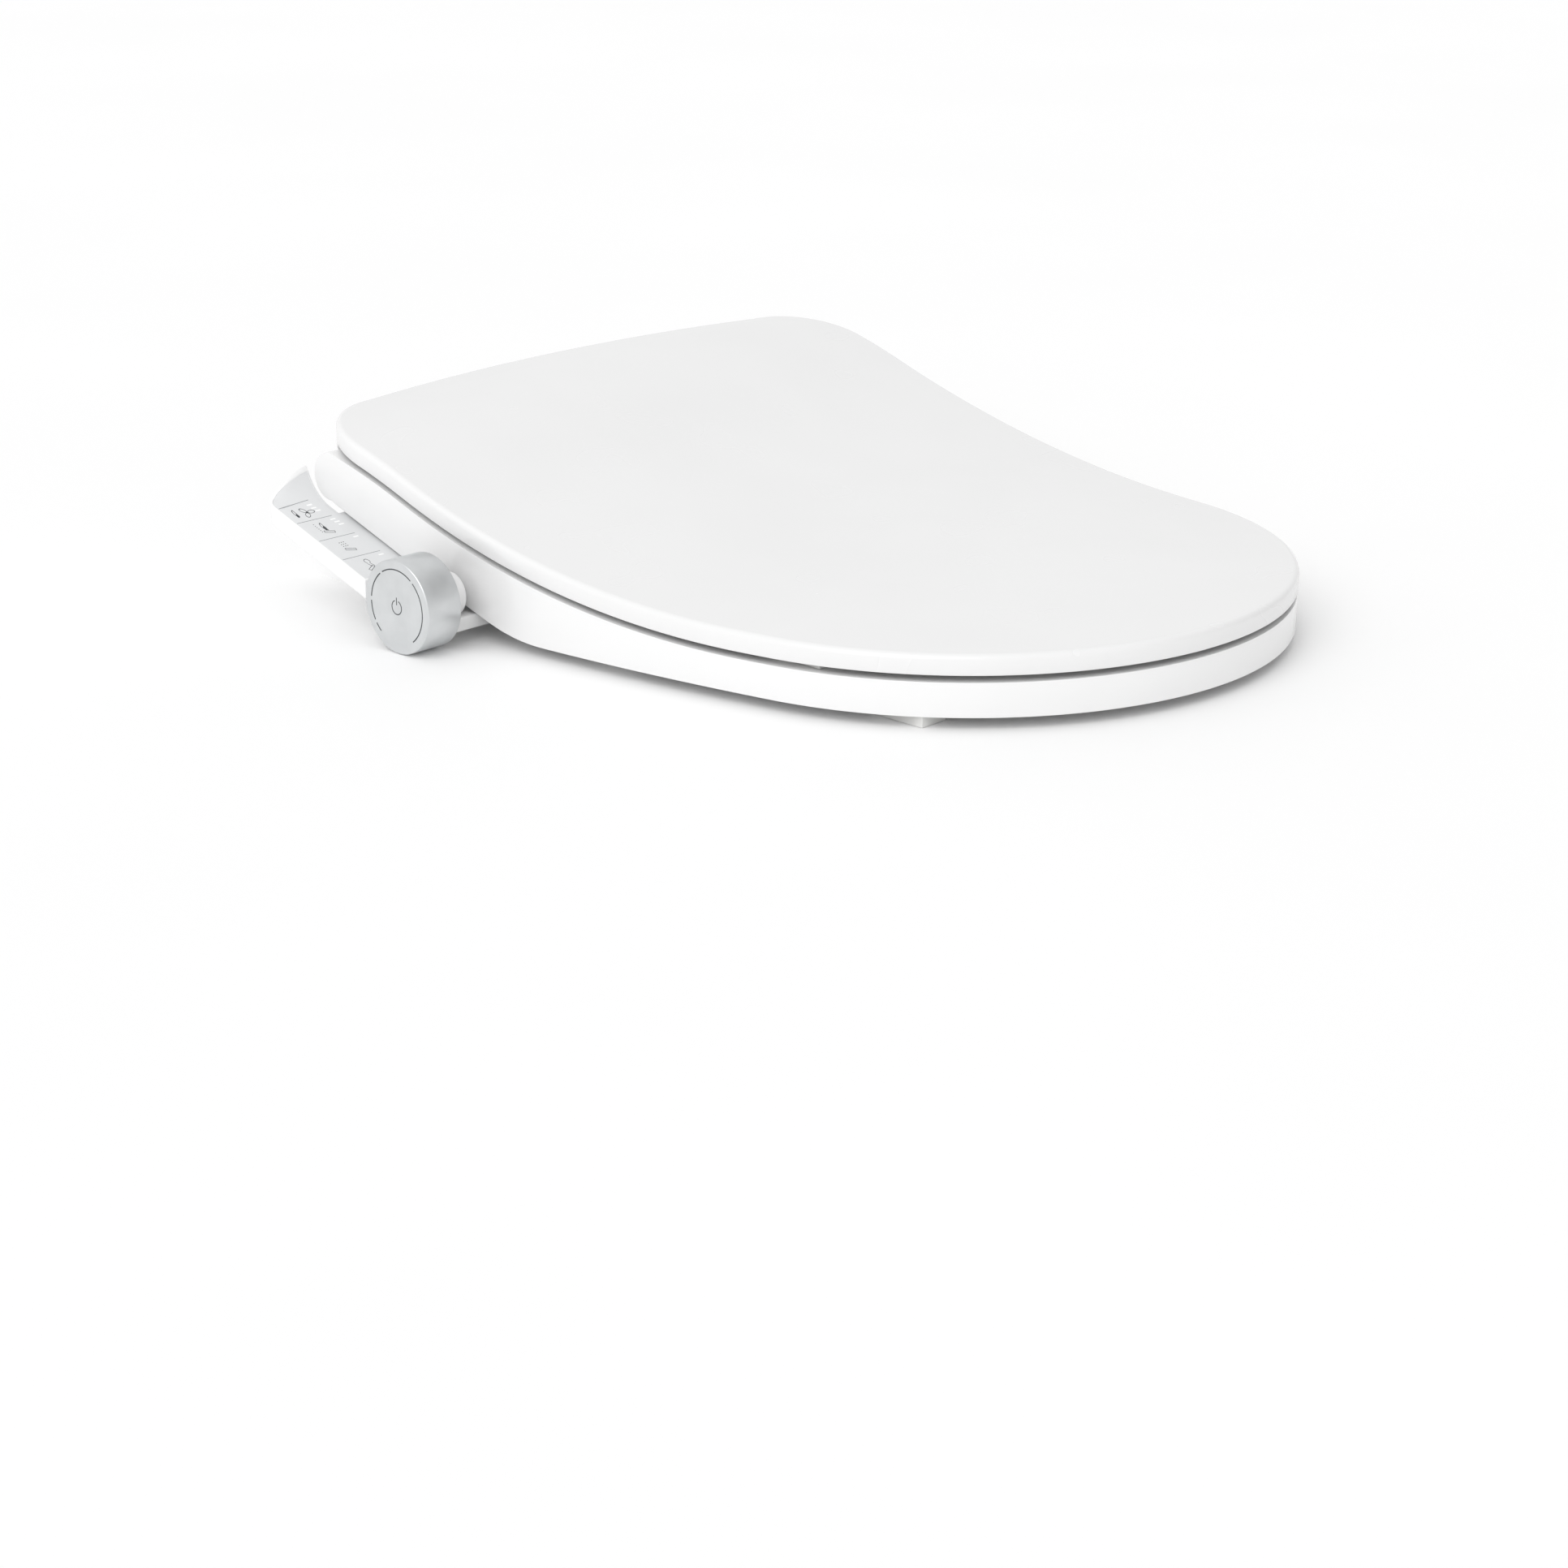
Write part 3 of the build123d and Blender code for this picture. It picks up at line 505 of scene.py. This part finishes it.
def sink_underside(bm):
    """Sinks the flat underside inside a narrow rim, for the cover that is welded in."""
    under = []
    for face in bm.faces:
        middle = face.calc_center_median()
        near_bottom = abs(middle.z - seat_bottom(middle.y)) < 0.4
        if face.normal.z < -0.9 and middle.y < HINGE_Y - 24 and near_bottom:
            under.append(face)
    bmesh.ops.inset_region(bm, faces=under, thickness=2.4, use_even_offset=True)
    pocket = bmesh.ops.extrude_face_region(bm, geom=under)["geom"]
    bmesh.ops.delete(bm, geom=[f for f in under if f.is_valid], context="FACES")
    bmesh.ops.translate(bm, vec=(0, 0, POCKET_DEPTH), verts=verts_of(pocket))


def make_seat():
    bm = bmesh.new()
    seat_half(bm, 0)
    thicken(bm, SLAB)
    slice_across(bm, [y for y in STATIONS if y < HINGE_Y - 2])
    bend_to_sides(bm)
    round_arm_end(bm)
    bmesh.ops.recalc_face_normals(bm, faces=bm.faces[:])
    outer = [e for e in sharp_edges(bm) if not on_middle(e)]
    bmesh.ops.delete(bm, geom=[f for f in bm.faces if on_middle(f)], context="FACES_ONLY")
    outer = [e for e in outer if e.is_valid and not e.is_boundary]
    round_edges(bm, outer, SEAT_EDGE, 4)
    for vert in bm.verts:
        if abs(vert.co.x) < 0.05:
            vert.co.x = 0
    geom = bm.verts[:] + bm.edges[:] + bm.faces[:]
    bmesh.ops.mirror(bm, geom=geom, axis="X", merge_dist=0.01)
    bmesh.ops.recalc_face_normals(bm, faces=bm.faces[:])
    sink_underside(bm)
    return make_piece(bm, "seat", "seat", seat_plastic, ["seat_shell", "seat_heater"])


seat = make_seat()
print("seat", len(seat.data.polygons), "faces")

# %% [markdown]
# ## Cover under the seat
# A heated ring is usually moulded open below and closed by a welded cover once the foil is in. The
# cover is drawn by the same outline function as the ring, set in from its edge, so that a fine joint
# line shows round it.

# %% Seat under cover
UNDERPLATE_INSET, UNDERPLATE_THICK = 6.8, 2.6


def make_underplate():
    bm = bmesh.new()
    seat_half(bm, UNDERPLATE_INSET)
    geom = bm.verts[:] + bm.edges[:] + bm.faces[:]
    bmesh.ops.mirror(bm, geom=geom, axis="X", merge_dist=0.01)
    thicken(bm, UNDERPLATE_THICK)
    slice_across(bm, spaced(BEND_Y - BEND_REACH, BEND_Y + BEND_REACH, 6))
    for vert in bm.verts:
        vert.co.z += UNDERPLATE_THICK + seat_bottom(vert.co.y) + 0.1
    round_edges(bm, sharp_edges(bm, 60), 0.4, 1)
    return make_piece(bm, "seat_under_cover", "seat", seat_plastic, ["seat_underplate"])


under_cover = make_underplate()
print("under cover", len(under_cover.data.polygons), "faces")

# %% [markdown]
# ## Control wing
# The wing is a thin ABS case that runs up along the seat's side, and its rear lip sweeps up beside
# the seat's arm. The lip is cut back there, so that the corner of the open lid can pass. The top is a
# printed polycarbonate film, laid in a shallow recess so that its edge is
# never proud. Every wing piece is drawn flat in plan and then laid on the same sloping surface, so
# the film, the ink and the case fit exactly.

# %% The wing's surface and outline
WING_FRONT, WING_OUT, WING_IN, WING_REAR, WING_CORNER = -53, -218, -140, 25, 9
WING_CLEAR, WING_STEP = -189.5, 1
WING_THICK, LIP_R, LIP_START, FILM = 10, 17.4, 8, 0.4
KNOB_Y, KNOB_Z, KNOB_R, KNOB_FACE, KNOB_BACK = -86, 23.7, 23.5, -226, -205


def wing_height(y):
    """Height of the wing's top, before its rear lip sweeps up."""
    return SEAT_BOTTOM + SLOPE * (y - BEND_Y) - 1.5


def lip_lift(x, y):
    """Rise of the rear lip, which starts at the outer corner and is highest beside the arm."""
    across = min(max((x - WING_OUT - 5) / 27, 0), 1)
    along = LIP_R - math.sqrt(LIP_R ** 2 - max(0, y - LIP_START) ** 2)
    return along * math.sin(across * math.pi / 2)


def lay_on_wing(bm):
    """Lifts a flat drawing onto the wing; heights are counted from the wing's top."""
    for vert in bm.verts:
        x, y, z = vert.co
        vert.co.z = wing_height(y) + z + lip_lift(x, y) * (1 + z / 50)


def wing_plan(bm, inset=0.0):
    """Plan of the wing: square in front, a round corner at the rear, clear of the lid's swing."""
    first = bm.verts.new((WING_IN, WING_FRONT + inset, 0))
    last = line_from(bm, first, WING_OUT + inset, WING_FRONT + inset)
    last = line_from(bm, last, WING_OUT + inset, WING_REAR - WING_CORNER)
    last = arc_from(bm, last, (WING_OUT + WING_CORNER, WING_REAR - WING_CORNER), -90, 14)
    last = line_from(bm, last, WING_CLEAR, WING_REAR - inset)
    last = line_from(bm, last, WING_CLEAR, WING_STEP)
    last = line_from(bm, last, WING_IN, WING_STEP)
    bm.edges.new((last, first))
    bmesh.ops.edgenet_fill(bm, edges=bm.edges[:])


def slice_lip(bm):
    """Cuts the rear of the wing both ways, so that the lip can curve."""
    slice_across(bm, spaced(LIP_START, WING_REAR - 1.5, 1.5))
    for x in spaced(WING_OUT + 5, -190, 3):
        geom = [f for f in bm.faces if f.calc_center_median().y > LIP_START]
        geom += list({e for f in geom for e in f.edges}) + list({v for f in geom for v in f.verts})
        bmesh.ops.bisect_plane(bm, geom=geom, plane_co=(x, 0, 0), plane_no=(1, 0, 0), dist=1e-4)


# %% Wing case
SIDE_VIEW = Matrix(((0, 0, 1, 0), (1, 0, 0, 0), (0, 1, 0, 0), (0, 0, 0, 1)))
FRONT_VIEW = Matrix(((1, 0, 0, 0), (0, 0, 1, 0), (0, 1, 0, 0), (0, 0, 0, 1)))


def prism(outline, low, high, view):
    """Straight-sided solid: an outline drawn in one view and carried from low to high across it."""
    bm = bmesh.new()
    face = bm.faces.new([bm.verts.new((*point, low)) for point in outline])
    far = bmesh.ops.extrude_face_region(bm, geom=[face])["geom"]
    bmesh.ops.translate(bm, vec=(0, 0, high - low), verts=verts_of(far))
    bmesh.ops.transform(bm, matrix=view, verts=bm.verts[:])
    bmesh.ops.recalc_face_normals(bm, faces=bm.faces[:])
    return bm


def make_wing():
    bm = bmesh.new()
    wing_plan(bm)
    thicken(bm, WING_THICK)
    round_edges(bm, sharp_edges(bm), 0.7, 3)
    top = max(bm.faces, key=lambda f: f.calc_center_median().z + f.calc_area())
    bmesh.ops.inset_region(bm, faces=[top], thickness=0.2, use_even_offset=True)
    bmesh.ops.inset_region(bm, faces=[top], thickness=0.02, depth=-FILM, use_even_offset=True)
    slice_lip(bm)
    lay_on_wing(bm)
    return make_piece(bm, "wing_top_shell", "base", case_plastic, ["wing_case"])


wing = make_wing()
print("wing", len(wing.data.polygons), "faces")

# %% [markdown]
# ## Foot and knob bracket
# The wing stands on the base tray by a foot with a slanting flank. In front of it a link, a round
# collar and a flat strut hold the knob beside the seat. Each is a simple solid with its edges
# rounded, sunk a little into its neighbour so that no gap shows.

# %% Foot, strut, link and collar
FOOT_OUT, FOOT_IN, FOOT_FRONT, FOOT_REAR, FLANK_X, FLANK_Z, TRAY_TOP = -196, -152, -49, 3, -168, 27, 16
BRACKET_OUT, BRACKET_IN, COLLAR_R = -203.5, -190.5, 11
STRUT_OUT, STRUT_IN, STRUT_LOW, STRUT_TOP = -203, -150, 7, 14
STRUT_FRONT, STRUT_REAR = KNOB_Y - 11, KNOB_Y + 14
LINK_REAR = WING_FRONT + 3

# The foot is drawn up to the wing's top and then lowered into the wing's underside.
head = wing_height(FOOT_REAR)
foot = prism([(FOOT_IN, TRAY_TOP), (FLANK_X, TRAY_TOP), (FOOT_OUT, FLANK_Z), (FOOT_OUT, head),
              (FOOT_IN, head)], FOOT_FRONT, FOOT_REAR, FRONT_VIEW)
for foot_vert in foot.verts:
    foot_vert.co.z = min(foot_vert.co.z, wing_height(foot_vert.co.y) - WING_THICK + 0.5)
strut = prism([(STRUT_FRONT, STRUT_LOW), (STRUT_REAR, STRUT_LOW), (STRUT_REAR, STRUT_TOP),
               (STRUT_FRONT, STRUT_TOP)], STRUT_OUT, STRUT_IN, SIDE_VIEW)
link = prism([(KNOB_Y, 14), (LINK_REAR, 16), (LINK_REAR, 26), (KNOB_Y, 33)],
             BRACKET_OUT, BRACKET_IN, SIDE_VIEW)
collar = bmesh.new()
along_x = Matrix.Rotation(math.pi / 2, 4, "Y")
bracket_middle = ((BRACKET_OUT + BRACKET_IN) / 2, KNOB_Y, KNOB_Z)
bmesh.ops.create_cone(collar, cap_ends=True, segments=64, radius1=COLLAR_R, radius2=COLLAR_R,
                      depth=BRACKET_IN - BRACKET_OUT, matrix=Matrix.Translation(bracket_middle) @ along_x)

for support, name, radius in ((foot, "wing_foot", 1.0), (strut, "knob_strut", 0.8),
                              (link, "knob_link", 0.8), (collar, "knob_collar", 1.0)):
    round_edges(support, sharp_edges(support), radius, 3)
    make_piece(support, name, "base", case_plastic)
    print(name)

# %% [markdown]
# ## Film and print
# The film is satin, and its grey, a shade darker than the case, is painted shade for the shadow that
# the seat's arm casts on the wing's top. Its print is screen ink: thin grey lines part the keys, dark
# line drawings say what each key does, and clear windows over small lights show the level. The
# drawings are generic, made from bars, dots and arcs laid on the film.

# %% Film on the wing
def make_film():
    bm = bmesh.new()
    wing_plan(bm, 1.0)
    thicken(bm, FILM)
    edge = [e for e in sharp_edges(bm) if max(v.co.z for v in e.verts) > -0.01]
    round_edges(bm, edge, 0.12, 2)
    slice_lip(bm)
    lay_on_wing(bm)
    return make_piece(bm, "panel_film", "base", film_grey_painted_shade, ["panel_overlay"])


film = make_film()
print("film", len(film.data.polygons), "faces")


# %% Flat drawing tools
def bar(bm, place, x, y, length, width, degrees=0):
    """Flat bar centred at x, y of a drawing."""
    turn = place @ Matrix.Translation((x, y, 0)) @ Matrix.Rotation(math.radians(degrees), 4, "Z")
    bmesh.ops.create_grid(bm, x_segments=1, y_segments=1, size=0.5,
                          matrix=turn @ Matrix.Diagonal((length, width, 1, 1)))


def dot(bm, place, x, y, radius, stretch=1.0, degrees=0):
    """Flat round or oval spot."""
    turn = place @ Matrix.Translation((x, y, 0)) @ Matrix.Rotation(math.radians(degrees), 4, "Z")
    bmesh.ops.create_circle(bm, cap_ends=True, radius=radius, segments=20,
                            matrix=turn @ Matrix.Diagonal((stretch, 1, 1, 1)))


def ring_arc(bm, place, x, y, radius, start, sweep, width, stretch=1.0, degrees=0):
    """Flat arc of even width, from the start angle through the sweep."""
    edge = [bm.verts.new((radius + side * width / 2, 0, 0)) for side in (-1, 1)]
    geom = edge + [bm.edges.new(edge)]
    before = set(bm.verts) - set(edge)
    bmesh.ops.rotate(bm, cent=(0, 0, 0), matrix=Matrix.Rotation(math.radians(start), 3, "Z"), verts=edge)
    bmesh.ops.spin(bm, geom=geom, cent=(0, 0, 0), axis=(0, 0, 1), angle=math.radians(sweep),
                   steps=max(6, round(abs(sweep) / 6)))
    turn = place @ Matrix.Translation((x, y, 0)) @ Matrix.Rotation(math.radians(degrees), 4, "Z")
    bmesh.ops.transform(bm, matrix=turn @ Matrix.Diagonal((stretch, 1, 1, 1)),
                        verts=[v for v in bm.verts if v not in before])


def frame_outline(bm, place, x, y, length, width, line, degrees=0):
    """Outline of a bar, as four thin bars."""
    turn = place @ Matrix.Translation((x, y, 0)) @ Matrix.Rotation(math.radians(degrees), 4, "Z")
    for side in (-1, 1):
        bar(bm, turn, 0, side * width / 2, length + line, line)
        bar(bm, turn, side * length / 2, 0, line, width)


def print_on(bm, height=0.05):
    """Gives a flat drawing the thickness of a coat of ink, standing on its surface."""
    flat = [f for f in bm.faces if f.normal.z < 0]
    bmesh.ops.reverse_faces(bm, faces=flat)
    up = bmesh.ops.extrude_face_region(bm, geom=bm.faces[:])["geom"]
    bmesh.ops.translate(bm, vec=(0, 0, height), verts=verts_of(up))
    bmesh.ops.recalc_face_normals(bm, faces=bm.faces[:])


# %% Key lines and lights
LINE_WIDTH, LIGHT_LENGTH, LIGHT_WIDTH, LIGHT_PITCH, LIGHT_SHIFT = 0.28, 3.2, 0.9, 2.6, 0.6
KEYS = [(14.8, -197.6, 3), (0.4, -194.5, 3), (-16.7, -194, 1), (-34.5, -192.8, 1)]
FLAT = Matrix.Identity(4)

lines = bmesh.new()
lights = bmesh.new()
for key_y, line_end, level in KEYS:
    line_start = WING_OUT + 1.5
    bar(lines, FLAT, (line_start + line_end) / 2, key_y, line_end - line_start, LINE_WIDTH)
    for step in range(level):
        light_x = line_end - 1.7 + LIGHT_SHIFT * step
        bar(lights, FLAT, light_x, key_y - 2.9 - LIGHT_PITCH * step, LIGHT_LENGTH, LIGHT_WIDTH)
for drawing in (lines, lights):
    print_on(drawing)
    lay_on_wing(drawing)
make_piece(lines, "key_lines", "base", line_ink)
make_piece(lights, "key_lights", "base", light_white, ["light_lenses"])
print("keys", len(KEYS))

# %% Icons
LINE, ICON_X, ICON_DROP = 0.26, -206.3, 7.8


def seat_sign(bm, place, x, y, scale=1.0):
    """Side view of a seat: a straight line over a long flat bowl."""
    ring_arc(bm, place, x, y, 1.5 * scale, 180, 180, LINE, 2.2)
    bar(bm, place, x, y, 6.6 * scale, LINE)


def petal_icon(bm, place):
    """Three petals round a hub, over a seat with a dark spot."""
    reach, middle = 2.4, 1.6
    for turn in (90, 210, 330):
        angle = math.radians(turn)
        ring_arc(bm, place, reach * math.cos(angle), middle + reach * math.sin(angle), 1.25, 0, 360,
                 LINE, 1.6, turn)
    dot(bm, place, 0, middle, 0.6)
    seat_sign(bm, place, -1.2, -4.6, 0.9)
    dot(bm, place, 1.0, -5.2, 0.7, 2.4, -12)


def dotted_icon(bm, place):
    """A seat with a dark spot, a slanting frame, and a row of dots below."""
    seat_sign(bm, place, -0.8, 1.2)
    dot(bm, place, 0.6, 0.6, 0.75, 2.6, -10)
    frame_outline(bm, place, 4.0, 0.8, 5.6, 1.5, LINE, 72)
    for column in range(6):
        dot(bm, place, -4.0 + 1.4 * column, -3.0, 0.24)


def drops_icon(bm, place):
    """Nine drops beside a slanting frame."""
    for column in range(3):
        for row in range(3):
            dot(bm, place, -3.0 + 1.7 * column, -1.6 + 1.3 * row, 0.28)
    frame_outline(bm, place, 3.6, 0.3, 5.6, 1.5, LINE, 72)


def ring_icon(bm, place):
    """An open ring, two bars and a slanting frame with three short strokes."""
    ring_arc(bm, place, -2.4, 0.6, 1.4, 40, 280, LINE, 1.3)
    bar(bm, place, 0.6, 1.4, 3.0, LINE, 18)
    bar(bm, place, 0.8, -0.2, 3.0, LINE, 18)
    frame_outline(bm, place, 3.2, -1.0, 4.6, 1.4, LINE, -60)
    for stroke in range(3):
        bar(bm, place, 4.6 + 0.7 * stroke, 1.2 + 0.5 * stroke, 1.2, LINE, 60)


icons = bmesh.new()
for draw, (key_y, line_end, level) in zip((petal_icon, dotted_icon, drops_icon, ring_icon), KEYS):
    key_middle = Matrix.Translation((ICON_X, key_y - ICON_DROP, 0))
    draw(icons, key_middle @ Matrix.Rotation(-math.pi / 2, 4, "Z"))
print_on(icons)
lay_on_wing(icons)
make_piece(icons, "key_icons", "base", dark_ink)
print("icons", len(KEYS))

# %% [markdown]
# ## Knob
# The knob is a cup turned from aluminium bar. Its front edge has a small chamfer that catches the
# light. The face carries a ring of engraved arcs, filled with dark ink, which marks the flow and
# temperature, and a power sign in the middle.

# %% Knob cap
def make_knob():
    bm = bmesh.new()
    face_on = Matrix.Translation((KNOB_FACE, KNOB_Y, KNOB_Z)) @ Matrix.Rotation(-math.pi / 2, 4, "Y")
    bmesh.ops.create_circle(bm, cap_ends=True, radius=KNOB_R, segments=128, matrix=face_on)
    border = [e for e in bm.edges if e.is_boundary]
    back = bmesh.ops.extrude_edge_only(bm, edges=border)["geom"]
    bmesh.ops.translate(bm, vec=(KNOB_BACK - KNOB_FACE, 0, 0), verts=verts_of(back))
    bmesh.ops.recalc_face_normals(bm, faces=bm.faces[:])
    if next(f for f in bm.faces if len(f.verts) > 4).normal.x > 0:
        bmesh.ops.reverse_faces(bm, faces=bm.faces[:])
    bmesh.ops.solidify(bm, geom=bm.faces[:], thickness=1.5)
    round_edges(bm, sharp_edges(bm, 60), 0.7, 3)
    return make_piece(bm, "knob_cup", "knob", knob_metal, ["knob_cap"])


knob = make_knob()
print("knob", len(knob.data.polygons), "faces")

# %% Ring and power sign on the knob's face
FACE_VIEW = Matrix(((0, 0, -1, KNOB_FACE), (1, 0, 0, KNOB_Y), (0, 1, 0, KNOB_Z), (0, 0, 0, 1)))
MARK_RING_R, MARK_WIDTH, POWER_R, POWER_WIDTH = 18.9, 0.6, 3.5, 0.5
MARK_ARCS = ((58.4, 125.4), (130.7, 233.5), (6.6, 52.8), (-29.5, 0.4), (-48.8, -34.6))

marks = bmesh.new()
for arc_start, arc_end in MARK_ARCS:
    ring_arc(marks, FLAT, 0, 0, MARK_RING_R, arc_start, arc_end - arc_start, MARK_WIDTH)
ring_arc(marks, FLAT, 0, 0, POWER_R, 112, 316, POWER_WIDTH)
bar(marks, FLAT, 0, 3.1, POWER_WIDTH, 3.8)
print_on(marks, 0.04)
bmesh.ops.transform(marks, matrix=FACE_VIEW, verts=marks.verts[:])
bmesh.ops.recalc_face_normals(marks, faces=marks.faces[:])
make_piece(marks, "knob_marks", "knob", dark_ink)
print("marks", len(MARK_ARCS), "arcs and a power sign")

# %% [markdown]
# ## Floor and light
# The floor is the plane of the bowl's rim, which the base stands on. A white sky gives the even
# light of a product studio, so that gaps go dark and the plastic stays almost white. The sky is
# dimmer low on the right, like a grey card beside the set, which shades the round of the metal knob.
# A wide soft key light from the left brightens the long side.

# %% Floor
FLOOR_SIZE = 6

floor_bm = bmesh.new()
bmesh.ops.create_grid(floor_bm, x_segments=1, y_segments=1, size=FLOOR_SIZE)
floor_mesh = bpy.data.meshes.new("floor")
floor_bm.to_mesh(floor_mesh)
floor = bpy.data.objects.new("floor", floor_mesh)
bpy.context.collection.objects.link(floor)
floor_paint, floor_tree, floor_shader, floor_place = new_material("floor_paint", {"Roughness": 0.75})
vary_colour(floor_tree, floor_shader, floor_place, 400, "#FAFAFA", "#FBFBFB")
floor_mesh.materials.append(floor_paint)
print("floor", 2 * FLOOR_SIZE, "m across")

# %% Sky and key light
CARD_DIRECTION = Vector((0.80, -0.50, 0.33)).normalized()
SKY_LEVEL, CARD_LEVEL = 0.89, 0.42

world = bpy.data.worlds.new("sky")
world.use_nodes = True
sky = world.node_tree
sky.nodes.clear()
direction = add_node(sky, "ShaderNodeTexCoord").outputs["Generated"]
facing = add_node(sky, "ShaderNodeVectorMath", {"operation": "DOT_PRODUCT"}, {0: direction})
facing.inputs[1].default_value = CARD_DIRECTION
strength = add_node(sky, "ShaderNodeMapRange",
                    {"From Min": 0.70, "From Max": 0.97, "To Min": SKY_LEVEL, "To Max": CARD_LEVEL},
                    {"Value": facing.outputs["Value"]})
background = add_node(sky, "ShaderNodeBackground", {"Color": (1, 1, 1, 1)},
                      {"Strength": strength.outputs["Result"]})
add_node(sky, "ShaderNodeOutputWorld", links={"Surface": background.outputs["Background"]})
bpy.context.scene.world = world
bpy.context.scene.view_settings.view_transform = "Standard"

key_light = bpy.data.lights.new("key_light", "SUN")
key_light.energy = 0.95
key_light.angle = math.radians(50)
key = bpy.data.objects.new("key_light", key_light)
bpy.context.collection.objects.link(key)
key.location = (-2, -0.6, 2)
key.rotation_mode = "QUATERNION"
key.rotation_quaternion = (-key.location).to_track_quat("-Z", "Y")
print("key light", key_light.energy, "and sky", SKY_LEVEL)

# %% [markdown]
# ## Finishes of the CAD parts
# The parts that stay as the CAD made them get the finish of their slot. Moulded and rubber parts
# also get a small rounding on every sharp edge, because moulded edges are never quite sharp.

# %% Finishes and moulded edges
FINISHES = {
    "case": case_plastic, "inner_case": inner_plastic, "dark": black_plastic, "steel": steel,
    "brass": brass, "foil": foil, "rubber": silicone, "hose": hose_silicone, "board": board_green,
    "lid": lid_plastic, "seat": seat_plastic, "overlay": film_grey_painted_shade, "light": light_white,
    "anodised": knob_metal,
}
MOULDED = ("case", "inner_case", "dark", "rubber")
for part in frame["record"]["subparts"]:
    node = nodes[part["node"]]
    for material_slot in node.material_slots:
        material_slot.material = FINISHES[part["material_slot"]]
    if part["material_slot"] in MOULDED:
        rounding = node.modifiers.new("moulded_edges", "BEVEL")
        rounding.width = 0.4 * MM
        rounding.segments = 2
        rounding.limit_method = "ANGLE"
        rounding.angle_limit = math.radians(50)
print("finished", len(nodes), "CAD parts")
